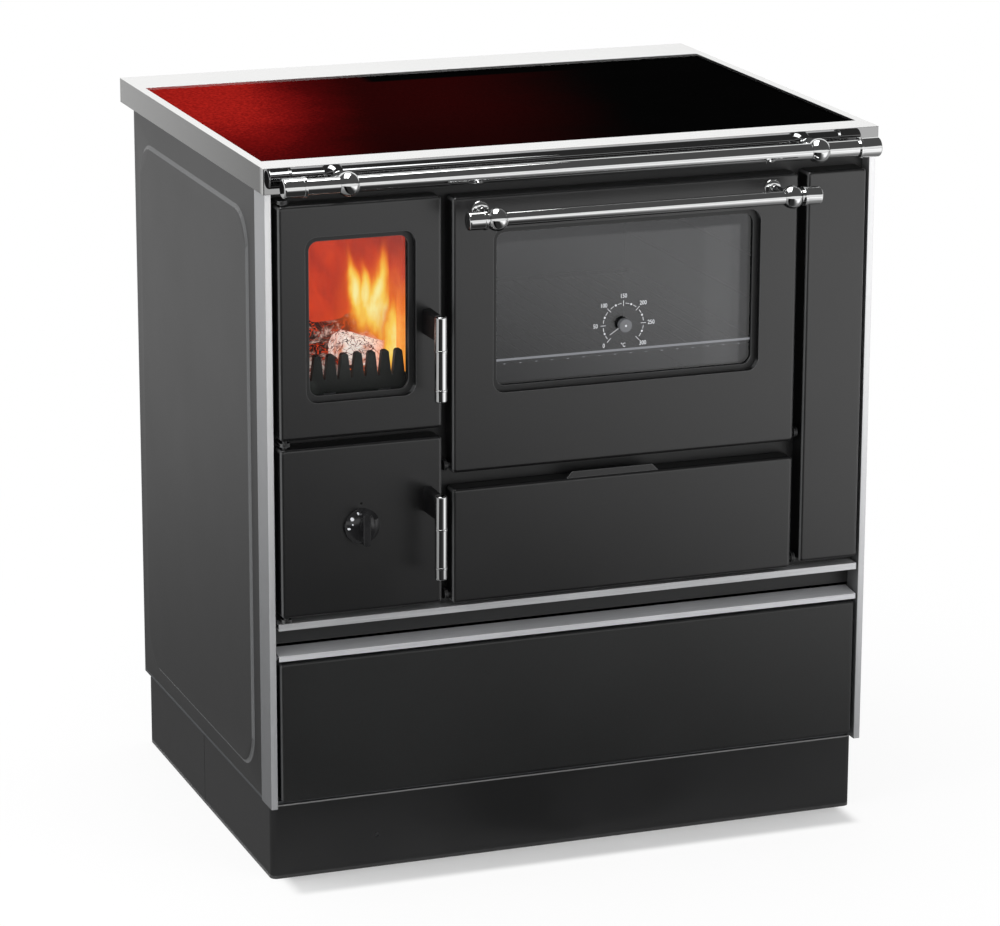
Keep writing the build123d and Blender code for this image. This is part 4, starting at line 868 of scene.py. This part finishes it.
def charred_wood(name, ash, ember, cracks):
    """Burning wood: cracked black bark, pale ash on the ridges, red in the cracks, and painted
    fire light on the bark and ash.
    """
    wood = Finish(name, roughness=0.9, emission_strength=1.0)
    fine = wood.clouds(240.0, 4.0, 0.65)
    patch = wood.clouds(34.0, 3.0, 0.6)
    warp = wood.blend(0.06, wood.place, wood.clouds(55.0, out="Color"))
    split = wood.cells(cracks, "DISTANCE_TO_EDGE", wood.stretched((0.45, 1.0, 1.0), warp))
    crack = split + (wood.clouds(150.0, 3.0, 0.6) - 0.5) * 0.09
    ashy = (patch + fine * 0.35).ramp(0.66 - ash * 0.3, 0.86 - ash * 0.3)
    powder = (ashy * crack.ramp(0.01, 0.07)).clamped()
    bark = wood.blend(fine, colour("0d0809"), colour("3a2522"))
    peach = wood.blend(patch.ramp(0.45, 0.65), colour("c98562"), colour("d9cfc6"))
    hot = (crack.fall(0.0, 0.055) * patch.ramp(0.4, 0.6, 1.0, 0.2) * ember).clamped()
    # Painted fire light: the bark and the ash glow as if lit by the flames.
    pale = wood.blend(patch.ramp(0.38, 0.55), colour("a5684a"), colour("dcd0c8"))
    painted_fire_light_on_wood = wood.blend(powder * (0.35 + ash * 0.7), colour("1c0a08"), pale)
    wood.paint(
        base_color=wood.blend(powder, bark, peach),
        emission_color=wood.blend(hot, painted_fire_light_on_wood, colour("ff4a12")),
    )
    wood.relief(crack.ramp(0.0, 0.2) + fine * 0.4, 0.0022, 0.8)
    return wood.material


def log_pile(*logs):
    """Logs, each from a start to an end, with its radius in millimetres and its seed."""
    work = bmesh.new()
    for start, end, radius, seed in logs:
        log(work, at(*start), at(*end), radius * MM, seed)
    return work


finished(
    "ashy_logs",
    log_pile(
        ((-268, 72, 623), (-203, 84, 601), 19, 1.3),
        ((-214, 60, 600), (-206, 150, 604), 13, 4.2),
    ),
    "body", charred_wood("ashy_wood", 0.9, 0.2, 105.0),
)
finished(
    "dark_logs",
    log_pile(
        ((-244, 112, 637), (-210, 128, 628), 12, 2.4),
        ((-304, 92, 632), (-247, 104, 637), 12, 5.6),
        ((-322, 60, 606), (-262, 64, 594), 15, 3.1),
        ((-304, 124, 604), (-216, 132, 606), 18, 7.7),
    ),
    "body", charred_wood("dark_wood", 0.16, 0.8, 75.0),
)

BED_WIDTH, BED_DEPTH = 0.122, 0.34
BED_RIM = at(-263.5, 215, 571)  # the middle of the ember bed, at the height of its rim
BED_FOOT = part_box("fire_grate")[1].z + 0.0005
BED_BANK = 0.022  # how far in from its rim the bed is heaped to its full height


def ember_bed():
    """Glowing coals and ash, heaped over the grate behind the comb."""
    work = bmesh.new()
    bmesh.ops.create_grid(work, x_segments=60, y_segments=120, size=0.5)
    bmesh.ops.scale(work, vec=(BED_WIDTH, BED_DEPTH, 1), verts=work.verts)
    for vert in work.verts:
        spot = Vector((vert.co.x * 40, vert.co.y * 40, 3.3))
        coal = 1 - noise.voronoi(spot)[0][0] * 1.4
        rim = min(BED_WIDTH / 2 - abs(vert.co.x), BED_DEPTH / 2 - abs(vert.co.y))
        heap = min(rim / BED_BANK, 1)
        vert.co.z = (0.018 + 0.011 * coal + 0.002 * noise.noise(spot * 2.7)) * heap
    bmesh.ops.translate(work, vec=BED_RIM, verts=work.verts)
    bed = bmesh.ops.extrude_face_region(work, geom=list(work.faces))
    for vert in new_verts(bed):
        vert.co.z = BED_FOOT
    return work


def hot_coals():
    """Coals: white ash over glowing red, brightest in the gaps."""
    coals = Finish("hot_coals", roughness=0.9, emission_strength=1.0)
    [height] = coals.axes("Z")
    gap = coals.cells(75.0, "DISTANCE_TO_EDGE")
    fine = coals.clouds(300.0, 4.0, 0.65)
    patch = coals.clouds(40.0, 3.0)
    lift = height.ramp(0.585, 0.604)
    powder = (patch.ramp(0.42, 0.62) * gap.ramp(0.03, 0.12) * lift).clamped()
    heat = (gap.fall(0.0, 0.14) + (fine - 0.5) * 0.5 + patch * 0.4 - 0.2).clamped()
    glow = coals.shades(
        heat, (0.0, "14050a"), (0.35, "6d1210"), (0.65, "d83a12"), (1.0, "ff9a35")
    )
    coals.paint(
        base_color=coals.blend(powder, colour("160b0a"), colour("cfc3ba")),
        emission_color=coals.blend(powder * 0.75, glow, colour("5e3426")),
    )
    coals.relief(gap.ramp(0.0, 0.25) + fine * 0.4, 0.002, 0.8)
    return coals.material


finished("ember_bed", ember_bed(), "body", hot_coals())


def flame_sheet(depth, left, right, low, high, ripple):
    """An upright rippled sheet that carries a painted flame, in millimetres."""
    work = bmesh.new()
    bmesh.ops.create_grid(work, x_segments=24, y_segments=12, size=0.5)
    bmesh.ops.scale(work, vec=((right - left) * MM, (high - low) * MM, 1), verts=work.verts)
    middle = at((left + right) / 2, depth, (low + high) / 2)
    bmesh.ops.transform(work, matrix=facing_front(middle), verts=work.verts)
    for vert in work.verts:
        vert.co.y += ripple * MM * math.sin(vert.co.x * 90 + vert.co.z * 25)
    return work


def flame_light(name, tongues):
    """Painted fire: tongues from a foot to a tip, each as (x, z, lean, height, width)."""
    fire = Finish(
        name, base_color=BLACK, roughness=1.0, specular_ior_level=0.0, emission_strength=1.0
    )
    across, height = fire.axes("XZ")
    sway = fire.clouds(26.0, 2.0, 0.55, fire.stretched((1.0, 0.4, 0.55)))
    wisp = fire.clouds(75.0, 3.0, 0.6, fire.stretched((1.0, 0.4, 0.35)))
    cores, halos = [], []
    for foot_x, foot_z, lean, tall, wide in tongues:
        rise = (height - foot_z * MM) / (tall * MM)
        middle = rise * (lean * MM) + foot_x * MM
        drift = (sway - 0.5) * 0.026 * rise.ramp(0.0, 0.5) + (wisp - 0.5) * 0.006
        slim = (1.0 - rise.clamped()) ** 0.6 * (wide * MM) + 0.0008
        side = abs(across - middle + drift) / slim
        upright = rise.band(-0.35, 0.25, 0.25, 1.05)
        cores.append(side.fall(0.0, 1.5) * upright)
        halos.append(side.fall(0.0, 4.0) * upright)
    core, halo = reduce(Signal.brighter, cores), reduce(Signal.brighter, halos)
    heat = ((core * 0.55 + halo * 0.42) * (0.55 + wisp * 0.85)).clamped()
    glow = fire.shades(
        heat,
        (0.0, "cc3e1a"), (0.3, "ea681f"), (0.52, "f59a30"), (0.74, "ffd056"), (1.0, "fff0a0"),
    )
    fire.paint(emission_color=glow, alpha=heat.ramp(0.0, 0.6))
    return fire.material


def flames(name, sheet, tongues):
    """A sheet of painted fire, which casts no shadow and isn't mirrored."""
    light = flame_light(name + "_light", tongues)
    piece = finished(name, flame_sheet(*sheet), "body", light)
    piece.visible_shadow = False
    piece.visible_glossy = False


flames("front_flames", (76, -292, -203, 622, 756, 3), (
    (-221, 636, 2, 84, 24),
    (-239, 656, -16, 98, 10),
    (-230, 658, -4, 76, 9),
    (-223, 652, 21, 106, 11),
    (-207, 622, 2, 80, 12),
))
flames("right_flames", (50, -262, -203, 588, 712, 1), ((-204, 588, -3, 122, 13),))


# ------------------------------------------------------------------- floor, light, view
def floor_finish():
    """A pale floor that is seen as plain white, under the stove's own faint shadow."""
    pale = Finish("pale_floor", roughness=0.8)
    across, depth = pale.axes("XY")
    away = pale.away()
    pale.paint(base_color=pale.blend(away.ramp(0.0, 4.0), colour("e8e8e8"), colour("eeeeee")))
    under_stove = abs(across).fall(0.345, 0.365) * abs(depth).fall(0.29, 0.31)
    white = pale.ray("Camera") * (0.9 + away.ramp(0.55, 1.5) * 0.1) * (1.0 - under_stove)
    plain = pale.node("ShaderNodeEmission", inputs={"Color": WHITE, "Strength": 1.0})
    pale.show(white, Signal(pale, pale.shader.outputs[0]), plain)
    return pale.material


CARD_GAIN = 1.3  # the card's brightest part against plain white


def card_finish():
    """The graded card on the floor that the metal and enamel mirror."""
    card = Finish(
        "graded_card",
        base_color=BLACK, specular_ior_level=0.0, emission_strength=CARD_GAIN,
    )
    across, depth = card.axes("XY")
    away = card.away()
    bearing = across.angle(FACE - depth)  # from straight ahead of the stove, to its right
    front = bearing.band(-0.75, -0.6, 1.1, 1.4)
    gap = bearing.band(-1.05, -0.95, -0.62, -0.55)
    right = bearing.band(0.6, 0.8, 1.05, 1.25) * away.ramp(1.1, 1.4)
    ahead = (FACE - depth) * 0.12 + across * 0.8
    bright = ahead.ramp(0.2, 1.4, 0.03, 1.25) + right * 0.5
    grey = away.ramp(0.5, 2.8, 0.2, 0.5) * (1.0 - gap)
    level = bright * front + grey * (1.0 - front)
    card.paint(emission_color=card.blend((level / CARD_GAIN).clamped(), BLACK, WHITE))
    return card.material


def stage_disc(name, radius, height, segments, material):
    """A round piece of the studio, which isn't part of the stove."""
    work = bmesh.new()
    bmesh.ops.create_circle(work, cap_ends=True, radius=radius, segments=segments)
    bmesh.ops.translate(work, vec=(0, 0, height), verts=work.verts)
    shape = bpy.data.meshes.new(name)
    work.to_mesh(shape)
    work.free()
    shape.materials.append(material)
    staged = bpy.data.objects.new(name, shape)
    bpy.context.scene.collection.objects.link(staged)
    return staged


stage_disc("floor", 16.0, 0.0, 96, floor_finish())
mirrored_card = stage_disc("floor_card", 7.0, 0.004, 64, card_finish())
for ray in ("camera", "diffuse", "transmission", "volume_scatter", "shadow"):
    setattr(mirrored_card, "visible_" + ray, False)


class Sky(Finish):
    """The studio's air: the world's shader, with the direction looked in as its place."""

    def __init__(self, name):
        world = bpy.data.worlds.new(name)
        bpy.context.scene.world = world
        world.use_nodes = True
        self.tree = world.node_tree
        self.tree.nodes.clear()
        self.output = self.tree.nodes.new("ShaderNodeOutputWorld")
        self.shader = self.tree.nodes.new("ShaderNodeBackground")
        self.tree.links.new(self.shader.outputs[0], self.output.inputs[0])
        self.place = self.node("ShaderNodeTexCoord", out="Generated")


def studio_air():
    """White where it is seen, softer as light, and with a dark ceiling ahead in mirrors."""
    sky = Sky("studio")
    depth, height = sky.axes("YZ")
    rise = height.angle(-depth)  # from the horizon ahead of the stove, overhead and on back
    ceiling = rise.band(0.29, 0.35, 2.3, 2.6)
    seen = sky.ray("Camera") + sky.ray("Transmission")
    mirrored = sky.ray("Glossy")
    level = (seen + mirrored * (1.0 - ceiling * 0.95)).clamped()
    strength = 0.75 + level * 0.25 - mirrored * ceiling * 0.68
    sky.paint(color=WHITE, strength=strength)


def soft_box(name, place, target, size, power, mirrored=False):
    """A soft lamp that faces its target, and is seen in mirrors only where it says so."""
    lamp = bpy.data.lights.new(name, "AREA")
    lamp.shape = "RECTANGLE"
    lamp.size, lamp.size_y = size
    lamp.energy = power
    holder = bpy.data.objects.new(name, lamp)
    holder.location = place
    aim = Vector(target) - Vector(place)
    holder.rotation_euler = aim.to_track_quat("-Z", "Y").to_euler()
    holder.visible_glossy = mirrored
    bpy.context.scene.collection.objects.link(holder)


studio_air()
soft_box("overhead_box", (-0.3, 0.2, 3.0), (0, 0, 0.6), (2.4, 1.4), 60, mirrored=True)
soft_box("left_box", (-3.0, -1.2, 1.6), (0, 0, 0.45), (1.6, 2.2), 30)
soft_box("right_box", (2.0, -3.2, 1.8), (0, 0, 0.45), (1.8, 2.0), 36)


def place_camera():
    """The photograph's view: the angles and the lens were fitted to the stove's corners."""
    place = Vector((-1.71546, -4.63278, 1.78036))
    turn, tilt, roll = -0.355116, 0.271139, 0.0030658
    level = Vector((math.sin(turn), -math.cos(turn), 0))
    back = level * math.cos(tilt) + Vector((0, 0, math.sin(tilt)))
    right = Vector((math.cos(turn), math.sin(turn), 0))
    up = back.cross(right)
    axes = (
        math.cos(roll) * right + math.sin(roll) * up,
        -math.sin(roll) * right + math.cos(roll) * up,
        back,
    )
    lens = bpy.data.cameras.new("view")
    lens.sensor_width = 36
    lens.sensor_fit = "HORIZONTAL"
    lens.lens = 150.592
    holder = bpy.data.objects.new("view", lens)
    holder.matrix_world = Matrix.Translation(place) @ Matrix(axes).transposed().to_4x4()
    bpy.context.scene.collection.objects.link(holder)
    bpy.context.scene.camera = holder


place_camera()
bpy.context.scene.view_settings.view_transform = "Standard"
